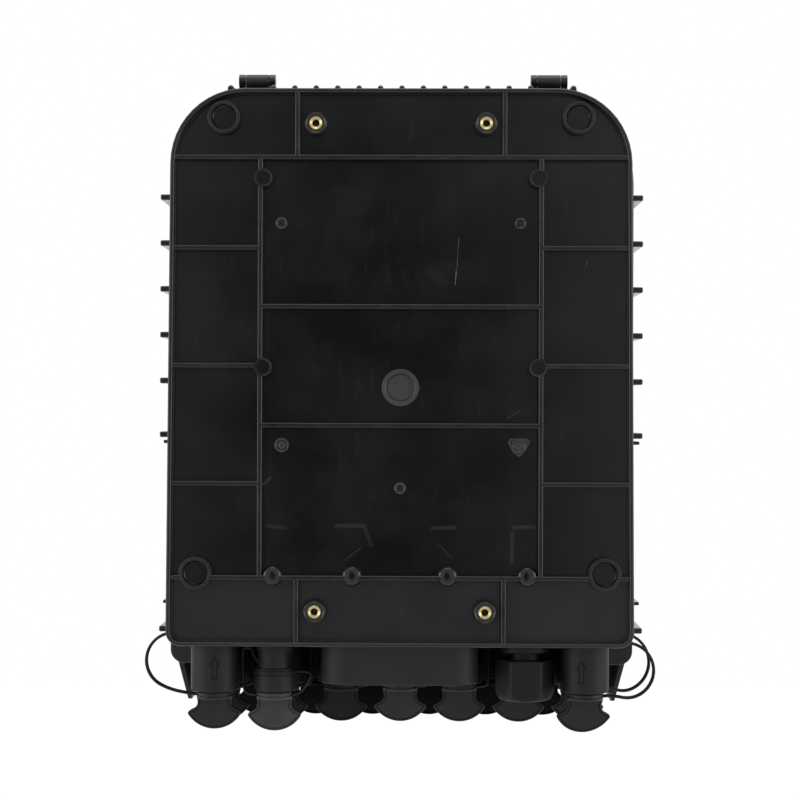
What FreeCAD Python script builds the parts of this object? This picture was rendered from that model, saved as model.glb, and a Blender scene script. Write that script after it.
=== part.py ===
"""Outdoor fibre termination box: a ribbed case, a top-hinged cover, plug-in ports and their dust caps.

Millimetres. X runs along the width, Y from the rear rim (Y = 0) to the front, Z up. The origin is the
centre of the four rear inserts, on the rear rim's plane.
"""
import FreeCAD
import Part
import Sketcher
import math
import os
import re

Vector = FreeCAD.Vector
UP = Vector(0, 0, 1)
NEAR = 0.01

SIZES = {
    # Case: a tub that is open to the front
    "case_half_width": 116.5,
    "case_half_height": 140,
    "case_depth": 88,
    "corner_top": 37.5,
    "corner_bottom": 7.5,
    "wall": 3,
    "rear_recess": 5,
    "panel": 3,
    "rim": 2.3,
    # Front flange and the seal in it
    "flange": 6,
    "flange_side": 9.5,
    "flange_drop": 20,
    "seal_inset": 4,
    "seal_width": 3,
    "seal_depth": 3,
    # Ribs on the rear panel
    "rib": 2.5,
    "rib_step": 0.5,
    "cross_rib_z": "=case_half_height - 34.5",
    "column_rib_x": 70.5,
    "stub_rib_x": 52,
    "side_rib_high": 60,
    "side_rib_mid": 0.9,
    "side_rib_low": -58.3,
    "inner_rib_high": 30.6,
    "inner_rib_low": -29,
    # Bosses on the rear panel
    "ring_radius": 8.25,
    "ring_hole": 6.25,
    "ring_top_x": "=case_half_width - 27.5",
    "ring_top_z": "=case_half_height - 14.5",
    "ring_low_x": "=case_half_width - 13.9",
    "ring_low_z": "=36.7 - case_half_height",
    "rib_boss": 4.65,
    "rib_boss_x": "=column_rib_x - 1.5",
    "rib_boss_high_z": 95,
    "rib_boss_mid_z": "=side_rib_mid - 0.8",
    "peg_small": 3,
    "peg_large": 3.75,
    "peg_height": 3,
    "peg_high_x": 60,
    "peg_high_z": 72.5,
    "peg_low_x": 59.5,
    "peg_low_z": -39,
    "peg_centre_z": -60.5,
    "stud": 5,
    "stud_inner_x": 24,
    "stud_outer_x": 64,
    "stud_z": "=1.5 - cross_rib_z",
    "gate": 9.5,
    "gate_height": 1.4,
    "gate_z": -10,
    # Brass inserts and their bosses
    "insert_x": 42.75,
    "insert_z": "=case_half_height - 17.5",
    "insert_boss": 5.9,
    "insert_radius": 3.5,
    "insert_bore": 2.1,
    "insert_length": 6.5,
    # Fins on the sides, guard ribs beside the latches, ribs on top
    "fin": 3,
    "fin_back": 30,
    "fin_reach": 8.4,
    "fin_pitch": 23.75,
    "fin_count": 5,
    "fin_low_z": "=133.6 - case_half_height",
    "fin_latch_z": "=105.7 - case_half_height",
    "fin_foot_z": "=5.1 - case_half_height",
    "guard": 1.8,
    "guard_back": 50,
    "guard_reach": 9.2,
    "guard_high_z": "=101.6 - case_half_height",
    "guard_low_z": "=17 - case_half_height",
    "top_rib_outer": "=case_half_width - 27.7",
    "top_rib_count": 13,
    "top_rib_pitch": "=2 * (case_half_width - 49.9) / (top_rib_count - 1)",
    "top_rib_rise": 7,
    "top_rib_root": 2.1,
    # Cover hinge
    "hinge_x": "=case_half_width - 36.5",
    "hinge_length": 20,
    "hinge_ear": 3.5,
    "hinge_radius": 4,
    "hinge_rise": 9.2,
    "hinge_pin": 1.5,
    "pin_fit": 0.05,
    "play": 0.3,
    # Cover with its visor
    "seam": 0.2,
    "cover_depth": 26,
    "cover_wall": 3,
    "cover_bevel": 4.2,
    "press_wall": 5,
    "visor_drop": 20.5,
    "visor_inset": 5.5,
    "arch_rise": 12,
    "arch_half": 100,
    "crown_half": "=case_half_width - 24.5",
    "crown_low": "=28 - case_half_height",
    "crown_high": "=case_half_height - 24",
    "crown_corner": 24,
    "crown_height": 2.4,
    "knuckle_web": 6,
    # Side latches, let into the flange and the cover
    "latch_low": "=19 - case_half_height",
    "latch_high": "=99 - case_half_height",
    "latch_inset": 3.5,
    "latch_plate": 2.6,
    "latch_gap": 0.4,
    "hook_reach": 4.4,
    "hook_thick": 3.4,
    "latch_barrel": 2.6,
    "latch_pivot": 17,
    "latch_pin": 1.3,
    "lug": 5,
    "lug_reach": 2.1,
    "grip_depth": 0.9,
    "grip_back": 4,
    "grip_length": 9,
    "grip_margin": 16,
    # Moulded ports
    "port_radius": 12,
    "port_length": 24,
    "opening_width": 9.6,
    "opening_depth": 7.7,
    "row_1_y": 16.5,
    "row_2_y": 46,
    "row_3_y": 67.5,
    "row_1_outer": "=case_half_width - 22.2",
    "row_1_inner": "=case_half_width - 52.8",
    "row_2_pitch": "=(case_half_width - 23.5) / 3",
    "row_3_pitch": "=(case_half_width - 40.75) / 2.5",
    # Oval cable entry
    "oval_half": "=case_half_width - 76.5",
    "oval_radius": 13.5,
    "oval_length": 21,
    "oval_wall": 3,
    "oval_y": 17,
    "oval_seal": 14,
    "oval_seal_lift": 2,
    # Flanged input port
    "input_flange": 9.7,
    "input_flange_thick": 3.4,
    "input_neck": 7.5,
    "input_neck_length": 8.8,
    "input_collar": 10.3,
    "input_shank": 8,
    "input_lip": 2,
    "fit": 0.25,
    # Cable gland
    "gland_y": 18,
    "gland_shoulder": 12.8,
    "gland_shoulder_thick": 4,
    "gland_step": 3.6,
    "gland_shank": 8,
    "gland_shank_length": 10,
    "gland_bore": 5.8,
    "thread_play": 0.25,
    "gland_nut_corner": 15.4,
    "gland_nut_length": 20.5,
    "gland_nut_lip": 3,
    "gland_nut_round": 13.6,
    "gland_mouth": 6.4,
    "gland_seal_length": 9,
    "gland_cable": 4.5,
    "locknut_radius": 9.6,
    "locknut_thick": 4,
    # Dust caps
    "cap_plug_length": 8,
    "cap_collar": 9.2,
    "cap_collar_thick": 4,
    "cap_gap": 0.3,
    "fan_neck": 8.7,
    "fan_half": 13.5,
    "fan_shoulder": 4,
    "fan_wing": 8.2,
    "fan_height": 16.3,
    "fan_tip": 2.2,
    "fan_tuck": 0.7,
    "fan_thick": 3,
    # Cap tethers
    "strap": 1.3,
    "strap_width": 2.6,
    "strap_spread": "=row_3_pitch / 2",
    "loop_radius": 14.3,
    "loop_left_z": "=-case_half_height - 9.2",
    "loop_right_z": "=-case_half_height - 13.2",
    "loop_x": "=case_half_width - 1.5",
    "bend_radius": 3,
    "bend_x": "=row_1_inner + 14.1",
    "bend_z": "=-case_half_height - 5.5",
    "strap_root_z": "=-case_half_height - 10",
    # Adapters inside, above the moulded ports
    "adapter_flange": 14,
    "adapter_flange_thick": 3,
    "adapter_width": 9.3,
    "adapter_depth": 7.4,
    "adapter_height": 22,
    # Splice tray on posts, splitter and strength clamp
    "tray_half": "=case_half_width - 32.5",
    "tray_low": "=78 - case_half_height",
    "tray_high": "=case_half_height - 42",
    "tray_corner": 13,
    "tray_y": 38,
    "tray_height": 12,
    "tray_skin": 2,
    "tray_post_x": "=tray_half - 14",
    "tray_post_low": "=tray_low + 12",
    "tray_post_high": "=tray_high - 12",
    "tray_post": 9,
    "spool": 24,
    "spool_x": 46,
    "spool_z": 40,
    "spool_wall": 2,
    "comb_pitch": 7,
    "comb_count": 7,
    "comb_length": 40,
    "comb_rib": 1.6,
    "comb_height": 6,
    "comb_z": -28,
    "screw_shank": 2,
    "screw_head": 4,
    "screw_head_height": 2.6,
    "screw_depth": 9,
    "splitter_half": 50,
    "splitter_low": -24,
    "splitter_high": 56,
    "splitter_thick": 10,
    "clamp_x": "=row_1_inner",
    "clamp_z": "=52 - case_half_height",
    "clamp_post": 11,
    "clamp_post_height": 10,
    "clamp_half": 14,
    "clamp_tall": 6,
    "clamp_thick": 2,
}

doc = FreeCAD.newDocument("fibre_termination_box")
sheet = doc.addObject("Spreadsheet::Sheet", "dims")
for row, (alias, number) in enumerate(SIZES.items(), 1):
    sheet.set(f"A{row}", alias)
    sheet.set(f"B{row}", str(number))
    sheet.setAlias(f"B{row}", alias)
doc.recompute()

# Places that several pieces share, as sums of the sheet's sizes
PANEL_BACK = "rear_recess"
PANEL_FRONT = "rear_recess + panel"
FLANGE_BACK = "case_depth - flange"
FLANGE_HALF = "case_half_width + flange_side"
FLANGE_TOP = "case_half_height + flange_side"
FLANGE_LOW = "-case_half_height - flange_drop"
FLANGE_CORNER = "corner_top + flange_side"
CAVITY_HALF = "case_half_width - wall"
CAVITY_Z = "case_half_height - wall"
FLOOR = "-case_half_height"
INNER_FLOOR = "wall - case_half_height"
HINGE_Y = "case_depth"
HINGE_Z = "case_half_height + flange_side + hinge_rise"
COVER_BACK = "case_depth + seam"
COVER_FRONT = "case_depth + seam + cover_depth"
VISOR_LOW = "-case_half_height - flange_drop - visor_drop"
COVER_HALF = "case_half_width + flange_side - latch_inset"
PIVOT_X = "case_half_width + flange_side - latch_inset + latch_gap + latch_barrel"
PIVOT_Y = "case_depth + latch_pivot"
PORT_END = "-case_half_height - port_length"
CAP_TOP = "-case_half_height - port_length - cap_gap"
CLAMP_SEAT = "rear_recess + panel + clamp_post_height"
INPUT_NECK_END = "-case_half_height - input_flange_thick - input_neck_length"


def size(expression):
    """The number that a sum of the sheet's sizes comes to."""
    return float(sheet.evalExpression(expression))


def named(expression):
    """The same sum, written as other objects have to refer to the sheet."""
    return re.sub(r"[a-z]\w*", r"dims.\g<0>", expression)


def tie(item, **expressions):
    """Binds properties of an object to sums of the sheet's sizes."""
    for name, expression in expressions.items():
        item.setExpression(name, named(expression))


def place(item, x="0", y="0", z="0"):
    """Binds an object's position to sums of the sheet's sizes."""
    for axis, expression in zip("xyz", (x, y, z)):
        item.setExpression(f"Placement.Base.{axis}", named(expression))


def minus(expression):
    """The opposite of a sum."""
    return f"-({expression})"


class Drawing:
    """A sketch on one of a body's origin planes, at a level along the plane's normal."""

    def __init__(self, body, name, plane, level="0"):
        support = [item for item in body.Origin.OriginFeatures if item.Role == plane][0]
        self.sketch = body.newObject("Sketcher::SketchObject", name)
        self.sketch.AttachmentSupport = [(support, "")]
        self.sketch.MapMode = "FlatFace"
        # The XZ plane's normal points along -Y
        along = minus(level) if plane == "XZ_Plane" else level
        self.sketch.setExpression("AttachmentOffset.Base.z", named(along))

    def hold(self, kind, *where, to):
        """Adds one dimension that follows the sheet."""
        index = self.sketch.addConstraint(Sketcher.Constraint(kind, *where, size(to)))
        self.sketch.setExpression(f"Constraints[{index}]", named(to))

    def pin(self, geometry, point, across=None, up=None):
        """Holds a point at signed distances from the sketch's origin."""
        if across is not None:
            self.hold("DistanceX", -1, 1, geometry, point, to=across)
        if up is not None:
            self.hold("DistanceY", -1, 1, geometry, point, to=up)

    def same(self, *where, kind="Coincident"):
        """Adds one relation between edges or points."""
        self.sketch.addConstraint(Sketcher.Constraint(kind, *where))

    def circle(self, across, up, radius):
        """A circle with its centre and radius held."""
        centre = Vector(size(across), size(up), 0)
        edge = self.sketch.addGeometry(Part.Circle(centre, UP, size(radius)), False)
        self.pin(edge, 3, across, up)
        self.hold("Radius", edge, to=radius)
        return self

    def polygon(self, *corners):
        """A closed outline of straight runs, each corner held."""
        points = [Vector(size(across), size(up), 0) for across, up in corners]
        edges = []
        for start, end in zip(points, points[1:] + points[:1]):
            edges.append(self.sketch.addGeometry(Part.LineSegment(start, end), False))
        for this, following in zip(edges, edges[1:] + edges[:1]):
            self.same(this, 2, following, 1)
        for edge, (across, up) in zip(edges, corners):
            self.pin(edge, 1, across, up)
        return self

    def bar(self, left, right, low, high):
        """A rectangle."""
        return self.polygon((left, low), (right, low), (right, high), (left, high))

    def rounded(self, half, low, high, round_low, round_high):
        """A rectangle about the upright axis with rounded lower and upper corners."""
        right, bottom, top = size(half), size(low), size(high)
        small, large = size(round_low), size(round_high)
        corners = [
            (right - small, bottom + small, small, -0.5),
            (right - large, top - large, large, 0.0),
            (large - right, top - large, large, 0.5),
            (small - right, bottom + small, small, 1.0),
        ]
        arcs = []
        for across, up, radius, turn in corners:
            ring = Part.Circle(Vector(across, up, 0), UP, radius)
            start = turn * math.pi
            arc = Part.ArcOfCircle(ring, start, start + math.pi / 2)
            arcs.append(self.sketch.addGeometry(arc, False))
        runs = []
        for index, arc in enumerate(arcs):
            following = arcs[(index + 1) % 4]
            start = self.sketch.getPoint(arc, 2)
            end = self.sketch.getPoint(following, 1)
            run = self.sketch.addGeometry(Part.LineSegment(start, end), False)
            self.same(arc, 2, run, 1, kind="Tangent")
            self.same(run, 2, following, 1, kind="Tangent")
            self.same(run, kind="Horizontal" if index % 2 else "Vertical")
            runs.append(run)
        self.hold("Radius", arcs[0], to=round_low)
        self.hold("Radius", arcs[1], to=round_high)
        self.same(arcs[0], arcs[3], kind="Equal")
        self.same(arcs[1], arcs[2], kind="Equal")
        self.pin(runs[0], 1, across=half)
        self.pin(runs[2], 1, across=minus(half))
        self.pin(runs[1], 1, up=high)
        self.pin(runs[3], 1, up=low)
        return self

    def stadium(self, half, middle, radius):
        """An oval with straight long sides, lying across."""
        reach = size(half) - size(radius)
        centre, bend = size(middle), size(radius)
        right = Part.Circle(Vector(reach, centre, 0), UP, bend)
        left = Part.Circle(Vector(-reach, centre, 0), UP, bend)
        first = self.sketch.addGeometry(Part.ArcOfCircle(right, -math.pi / 2, math.pi / 2), False)
        second = self.sketch.addGeometry(Part.ArcOfCircle(left, math.pi / 2, 1.5 * math.pi), False)
        for start, end in ((first, second), (second, first)):
            here = self.sketch.getPoint(start, 2)
            there = self.sketch.getPoint(end, 1)
            run = self.sketch.addGeometry(Part.LineSegment(here, there), False)
            self.same(start, 2, run, 1, kind="Tangent")
            self.same(run, 2, end, 1, kind="Tangent")
        self.same(first, second, kind="Equal")
        self.hold("Radius", first, to=radius)
        self.pin(first, 3, f"{half} - {radius}", middle)
        self.pin(second, 3, minus(f"{half} - {radius}"), middle)
        return self


def add(body, drawing, name, length, back=False, middle=False):
    """Pads a sketch: along its normal, against it, or to both sides."""
    pad = body.newObject("PartDesign::Pad", name)
    pad.Profile = drawing.sketch
    pad.Reversed = back
    pad.SideType = "Symmetric" if middle else "One side"
    tie(pad, Length=length)
    doc.recompute()
    return pad


def cut(body, drawing, name, length=None, back=False):
    """Pockets a sketch: against its normal or along it, to a depth or right through both ways."""
    pocket = body.newObject("PartDesign::Pocket", name)
    pocket.Profile = drawing.sketch
    pocket.Reversed = back
    if length is None:
        pocket.Type = "ThroughAll"
        pocket.SideType = "Symmetric"
    else:
        tie(pocket, Length=length)
    doc.recompute()
    return pocket


def repeat(body, feature, name, axis, pitch, count):
    """Repeats a feature along an axis of the body's origin."""
    pattern = body.newObject("PartDesign::LinearPattern", name)
    pattern.Originals = [feature]
    line = [item for item in body.Origin.OriginFeatures if item.Role == axis][0]
    pattern.Direction = (line, [""])
    tie(pattern, Length=f"{pitch} * ({count} - 1)", Occurrences=count)
    body.Tip = pattern
    doc.recompute()
    return pattern


def new_body(label):
    """An empty body with its own label."""
    body = doc.addObject("PartDesign::Body", label)
    body.Label = label
    return body


def bevel(body, feature, name, width, level):
    """Bevels the edges of the latest feature that lie on one level in depth."""
    edges = [
        f"Edge{number}" for number, edge in enumerate(feature.Shape.Edges, 1)
        if abs(edge.BoundBox.YMin - level) < NEAR and abs(edge.BoundBox.YMax - level) < NEAR
    ]
    chamfer = body.newObject("PartDesign::Chamfer", name)
    chamfer.Base = (feature, edges)
    tie(chamfer, Size=width)
    doc.recompute()


def rod(name, radius, length, x, y, z, axis=UP):
    """A cylinder that starts at a place and runs along an axis."""
    item = doc.addObject("Part::Cylinder", name)
    item.Placement = FreeCAD.Placement(Vector(), FreeCAD.Rotation(UP, axis))
    tie(item, Radius=radius, Height=length)
    place(item, x, y, z)
    return item


def block(name, width, depth, height, x, y, z):
    """A box that stands on a place, centred on it in X and Y."""
    item = doc.addObject("Part::Box", name)
    tie(item, Length=width, Width=depth, Height=height)
    place(item, f"{x} - ({width}) / 2", f"{y} - ({depth}) / 2", z)
    return item


def prism(name, sides, radius, length, x, y, z, axis=UP):
    """A many-sided bar, given by its corner radius, that starts at a place and runs along an axis."""
    item = doc.addObject("Part::Prism", name)
    item.Polygon = sides
    item.Placement = FreeCAD.Placement(Vector(), FreeCAD.Rotation(UP, axis))
    tie(item, Circumradius=radius, Height=length)
    place(item, x, y, z)
    return item


def joined(name, *items):
    """The union of several objects."""
    union = doc.addObject("Part::MultiFuse", name)
    union.Shapes = list(items)
    union.Refine = True
    return union


def without(name, base, tool):
    """An object less another."""
    rest = doc.addObject("Part::Cut", name)
    rest.Base = base
    rest.Tool = tool
    rest.Refine = True
    return rest


def group(label, items):
    """Like pieces kept as separate solids of one sub-part."""
    together = doc.addObject("Part::Compound", label)
    together.Links = items
    return together


# Ports: row, place across, place in depth
ROW_1 = [("-row_1_outer", "row_1_y"), ("row_1_outer", "row_1_y")]
ROW_2 = [(f"row_2_pitch * ({step})", "row_2_y") for step in range(-3, 4)]
ROW_3 = [(f"row_3_pitch * ({step} + 0.5)", "row_3_y") for step in range(-3, 3)]
INPUT = ("-row_1_inner", "row_1_y")
GLAND = ("row_1_inner", "gland_y")
SIDES = ("", "-")
FORWARD = Vector(0, 1, 0)
ACROSS = Vector(1, 0, 0)

# Sides of the many-sided bars that stand for small or repeated round forms
COARSE = 8
MIDDLE = 12
FINE = 16


def build_base():
    """The case: tub, flange, rear ribs and bosses, fins, hinge ears and moulded ports."""
    body = new_body("case_body")
    outline = Drawing(body, "case_outline", "XZ_Plane").rounded(
        "case_half_width", FLOOR, "case_half_height", "corner_bottom", "corner_top"
    )
    add(body, outline, "case_block", FLANGE_BACK, back=True)
    flange = Drawing(body, "flange_outline", "XZ_Plane", FLANGE_BACK).rounded(
        FLANGE_HALF, FLANGE_LOW, FLANGE_TOP, "corner_bottom", FLANGE_CORNER
    )
    add(body, flange, "flange_plate", "flange", back=True)
    oval = Drawing(body, "oval_outline", "XY_Plane", FLOOR).stadium("oval_half", "oval_y", "oval_radius")
    add(body, oval, "oval_pad", "oval_length", back=True)
    cavity = Drawing(body, "cavity_outline", "XZ_Plane", "case_depth").rounded(
        CAVITY_HALF, INNER_FLOOR, CAVITY_Z, "corner_bottom - wall", "corner_top - wall"
    )
    cut(body, cavity, "cavity", f"case_depth - ({PANEL_FRONT})", back=True)
    inner = Drawing(body, "oval_inside", "XY_Plane", f"{FLOOR} - oval_length")
    inner.stadium("oval_half - oval_wall", "oval_y", "oval_radius - oval_wall")
    cut(body, inner, "oval_cut", "oval_length + wall", back=True)
    recess = Drawing(body, "recess_outline", "XZ_Plane").rounded(
        "case_half_width - rim", "rim - case_half_height", "case_half_height - rim",
        "corner_bottom - rim", "corner_top - rim",
    )
    cut(body, recess, "rear_recess_cut", "rear_recess")
    groove = Drawing(body, "groove_outline", "XZ_Plane", "case_depth")
    for inset in ("seal_inset", "seal_inset + seal_width"):
        seal_ring(groove, inset)
    cut(body, groove, "seal_groove", "seal_depth", back=True)
    cut(body, latch_notch(body, "flange_notch", "case_depth"), "flange_notch_cut", "flange", back=True)
    build_rear_ribs(body)
    build_fins(body)

    bosses, boss_holes = rear_bosses()
    ports, port_holes = moulded_ports()
    posts, post_holes = inner_posts()
    ears = []
    for index, side in enumerate(SIDES):
        for number, shift in enumerate(("+", "-")):
            middle = f"{side}hinge_x {shift} (hinge_length - hinge_ear) / 2"
            ears += knuckle(f"ear_{index}{number}", middle, "hinge_ear", FLANGE_BACK, HINGE_Y)
    solid = joined("case_with_fittings", body, *bosses, *ports, *posts, *ears)
    holes = group("case_holes", boss_holes + port_holes + post_holes + [hinge_bore("case_hinge_bore")])
    without("base_shell", solid, holes)


def seal_ring(drawing, inset):
    """One rounded outline round the case's mouth, at a distance outside it."""
    drawing.rounded(
        f"{CAVITY_HALF} + {inset}", f"{INNER_FLOOR} - ({inset})", f"{CAVITY_Z} + {inset}",
        f"corner_bottom - wall + {inset}", f"corner_top - wall + {inset}",
    )


def latch_notch(body, name, level):
    """Outlines of the notches that the latches lie in, one on each side."""
    drawing = Drawing(body, name, "XZ_Plane", level)
    outside = f"{FLANGE_HALF} + latch_plate"
    for inner, outer in ((COVER_HALF, outside), (minus(outside), minus(COVER_HALF))):
        drawing.bar(inner, outer, "latch_low - play", "latch_high + play")
    return drawing


def build_rear_ribs(body):
    """The grid of ribs in the rear recess, a little lower than the rim."""
    height = "rear_recess - rib_step"
    inside = "case_half_width - rim / 2"
    end = "case_half_height - rim / 2"
    lying = Drawing(body, "lying_ribs", "XZ_Plane", PANEL_BACK)
    for level in ("cross_rib_z", "-cross_rib_z"):
        lying.bar(minus(inside), inside, f"{level} - rib / 2", f"{level} + rib / 2")
    for level in ("side_rib_high", "side_rib_mid", "side_rib_low"):
        lying.bar("column_rib_x", inside, f"{level} - rib / 2", f"{level} + rib / 2")
        lying.bar(minus(inside), "-column_rib_x", f"{level} - rib / 2", f"{level} + rib / 2")
    for level in ("inner_rib_high", "inner_rib_low"):
        lying.bar("-column_rib_x", "column_rib_x", f"{level} - rib / 2", f"{level} + rib / 2")
    add(body, lying, "lying_rib_pad", height)
    standing = Drawing(body, "standing_ribs", "XZ_Plane", PANEL_BACK)
    for side in SIDES:
        column = f"{side}column_rib_x"
        stub = f"{side}stub_rib_x"
        standing.bar(f"{column} - rib / 2", f"{column} + rib / 2", "-cross_rib_z", "cross_rib_z")
        standing.bar(f"{stub} - rib / 2", f"{stub} + rib / 2", "cross_rib_z", end)
        standing.bar(f"{stub} - rib / 2", f"{stub} + rib / 2", minus(end), "-cross_rib_z")
    add(body, standing, "standing_rib_pad", height)


def rear_bosses():
    """Bosses on the rear panel and the gate mark, and the hollows in them."""
    root = f"{PANEL_BACK} + panel / 2"
    bosses, holes = [], []

    def boss(name, sides, radius, x, z, rear="rib_step"):
        bosses.append(prism(name, sides, radius, f"{root} - ({rear})", x, rear, z, FORWARD))

    peg_rear = f"{PANEL_BACK} - peg_height"
    for index, side in enumerate(SIDES):
        for number, level in enumerate(("insert_z", "-insert_z")):
            name = f"insert_boss_{index}{number}"
            boss(name, MIDDLE, "insert_boss", f"{side}insert_x", level, "0")
            holes.append(prism(
                f"{name}_hole", 6, "insert_radius", "insert_length", f"{side}insert_x", "0", level, FORWARD
            ))
        for place_name in ("top", "low"):
            x, z = f"{side}ring_{place_name}_x", f"ring_{place_name}_z"
            name = f"ring_{place_name}_{index}"
            boss(name, MIDDLE, "ring_radius", x, z)
            holes.append(prism(
                f"{name}_hole", MIDDLE, "ring_hole", f"{PANEL_BACK} - rib_step", x, "rib_step", z, FORWARD
            ))
        boss(f"rib_boss_high_{index}", COARSE, "rib_boss", f"{side}rib_boss_x", "rib_boss_high_z")
        boss(f"rib_boss_mid_{index}", COARSE, "rib_boss", f"{side}rib_boss_x", "rib_boss_mid_z")
        boss(f"stud_inner_{index}", COARSE, "stud", f"{side}stud_inner_x", "stud_z")
        boss(f"stud_outer_{index}", COARSE, "stud", f"{side}stud_outer_x", "stud_z")
        boss(f"peg_high_{index}", COARSE, "peg_small", f"{side}peg_high_x", "peg_high_z", peg_rear)
        boss(f"peg_low_{index}", COARSE, "peg_large", f"{side}peg_low_x", "peg_low_z", peg_rear)
    boss("peg_centre", COARSE, "peg_small", "0", "peg_centre_z", peg_rear)
    boss("gate_mark", FINE, "gate", "0", "gate_z", f"{PANEL_BACK} - gate_height")
    return bosses, holes


def build_fins(body):
    """Horizontal fins on both sides, guard ribs beside the latches and upright ribs on top."""
    def plates(name, levels, back, reach, thick):
        """Pairs of plates from the side walls out, as far forward as the flange."""
        drawing = Drawing(body, f"{name}_ends", "XZ_Plane", back)
        root = "case_half_width - wall / 2"
        tip = f"case_half_width + {reach}"
        for level in levels:
            low, high = f"{level} - {thick} / 2", f"{level} + {thick} / 2"
            drawing.bar(root, tip, low, high)
            drawing.bar(minus(tip), minus(root), low, high)
        return add(body, drawing, name, f"{FLANGE_BACK} - {back}", back=True)

    plates("guards", ("guard_high_z", "guard_low_z"), "guard_back", "guard_reach", "guard")
    plates("single_fins", ("fin_latch_z", "fin_foot_z"), "fin_back", "fin_reach", "fin")
    lowest = plates("fins", ("fin_low_z",), "fin_back", "fin_reach", "fin")
    repeat(body, lowest, "fin_row", "Z_Axis", "fin_pitch", "fin_count")

    def top_rib(name, x):
        """One rib on top, a little higher at the flange."""
        profile = Drawing(body, f"{name}_profile", "YZ_Plane", x).polygon(
            ("fin_back", "case_half_height - top_rib_root"),
            (FLANGE_BACK, "case_half_height - top_rib_root"),
            (FLANGE_BACK, FLANGE_TOP),
            ("fin_back", "case_half_height + top_rib_rise"),
        )
        return add(body, profile, name, "fin", middle=True)

    # None stands under a hinge, one outside each
    for index, side in enumerate(SIDES):
        top_rib(f"outer_top_rib_{index}", f"{side}top_rib_outer")
    first = top_rib("top_rib", "-top_rib_pitch * (top_rib_count - 1) / 2")
    repeat(body, first, "top_rib_row", "X_Axis", "top_rib_pitch", "top_rib_count")


def moulded_ports():
    """Port tubes under the floor, and the openings through them and for the gland and the input port."""
    tubes, holes = [], []
    length = "port_length + wall / 2"
    for index, (x, y) in enumerate(ROW_1):
        tubes.append(rod(f"rear_tube_{index}", "port_radius", length, x, y, PORT_END))
    for index, (x, y) in enumerate(ROW_2 + ROW_3):
        tubes.append(prism(f"tube_{index}", MIDDLE, "port_radius", length, x, y, PORT_END))
    through = "port_length + wall"
    for index, (x, y) in enumerate(ROW_1 + ROW_2 + ROW_3):
        holes.append(block(f"opening_{index}", "opening_width", "opening_depth", through, x, y, PORT_END))
    holes.append(prism("gland_hole", FINE, "gland_shank + fit", "wall", *GLAND, FLOOR))
    holes.append(prism("input_hole", FINE, "input_shank + fit", "wall", *INPUT, FLOOR))
    return tubes, holes


def inner_posts():
    """Posts inside for the splice tray and the strength clamp, and their screw holes."""
    posts, holes = [], []

    def post(name, width, x, z, seat):
        root = f"{PANEL_FRONT} - panel / 2"
        middle = f"(({seat}) + ({root})) / 2"
        posts.append(block(name, width, f"{seat} - ({root})", width, x, middle, f"{z} - {width} / 2"))
        end = f"{seat} - screw_depth"
        holes.append(prism(f"{name}_hole", COARSE, "screw_shank", "screw_depth", x, end, z, FORWARD))

    for index, side in enumerate(SIDES):
        for number, level in enumerate(("tray_post_low", "tray_post_high")):
            post(f"tray_post_{index}{number}", "tray_post", f"{side}tray_post_x", level, "tray_y")
    post("clamp_post_block", "clamp_post", "clamp_x", "clamp_z", CLAMP_SEAT)
    return posts, holes


def knuckle(name, middle, width, back, front):
    """One hinge knuckle: a web up from the flange and a round head about the hinge line."""
    low = f"{FLANGE_TOP} - wall / 2"
    web = block(
        f"{name}_web", width, f"{front} - ({back})", f"{HINGE_Z} - ({low})",
        middle, f"({back} + {front}) / 2", low,
    )
    head = prism(
        f"{name}_head", FINE, "hinge_radius", width, f"{middle} - ({width}) / 2", HINGE_Y, HINGE_Z, ACROSS
    )
    return [web, head]


def hinge_bore(name):
    """The bore for the hinge pins, along the whole hinge line."""
    half = "hinge_x + hinge_length"
    radius = "hinge_pin + 2 * pin_fit"
    return prism(name, MIDDLE, radius, f"2 * ({half})", minus(half), HINGE_Y, HINGE_Z, ACROSS)


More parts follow.
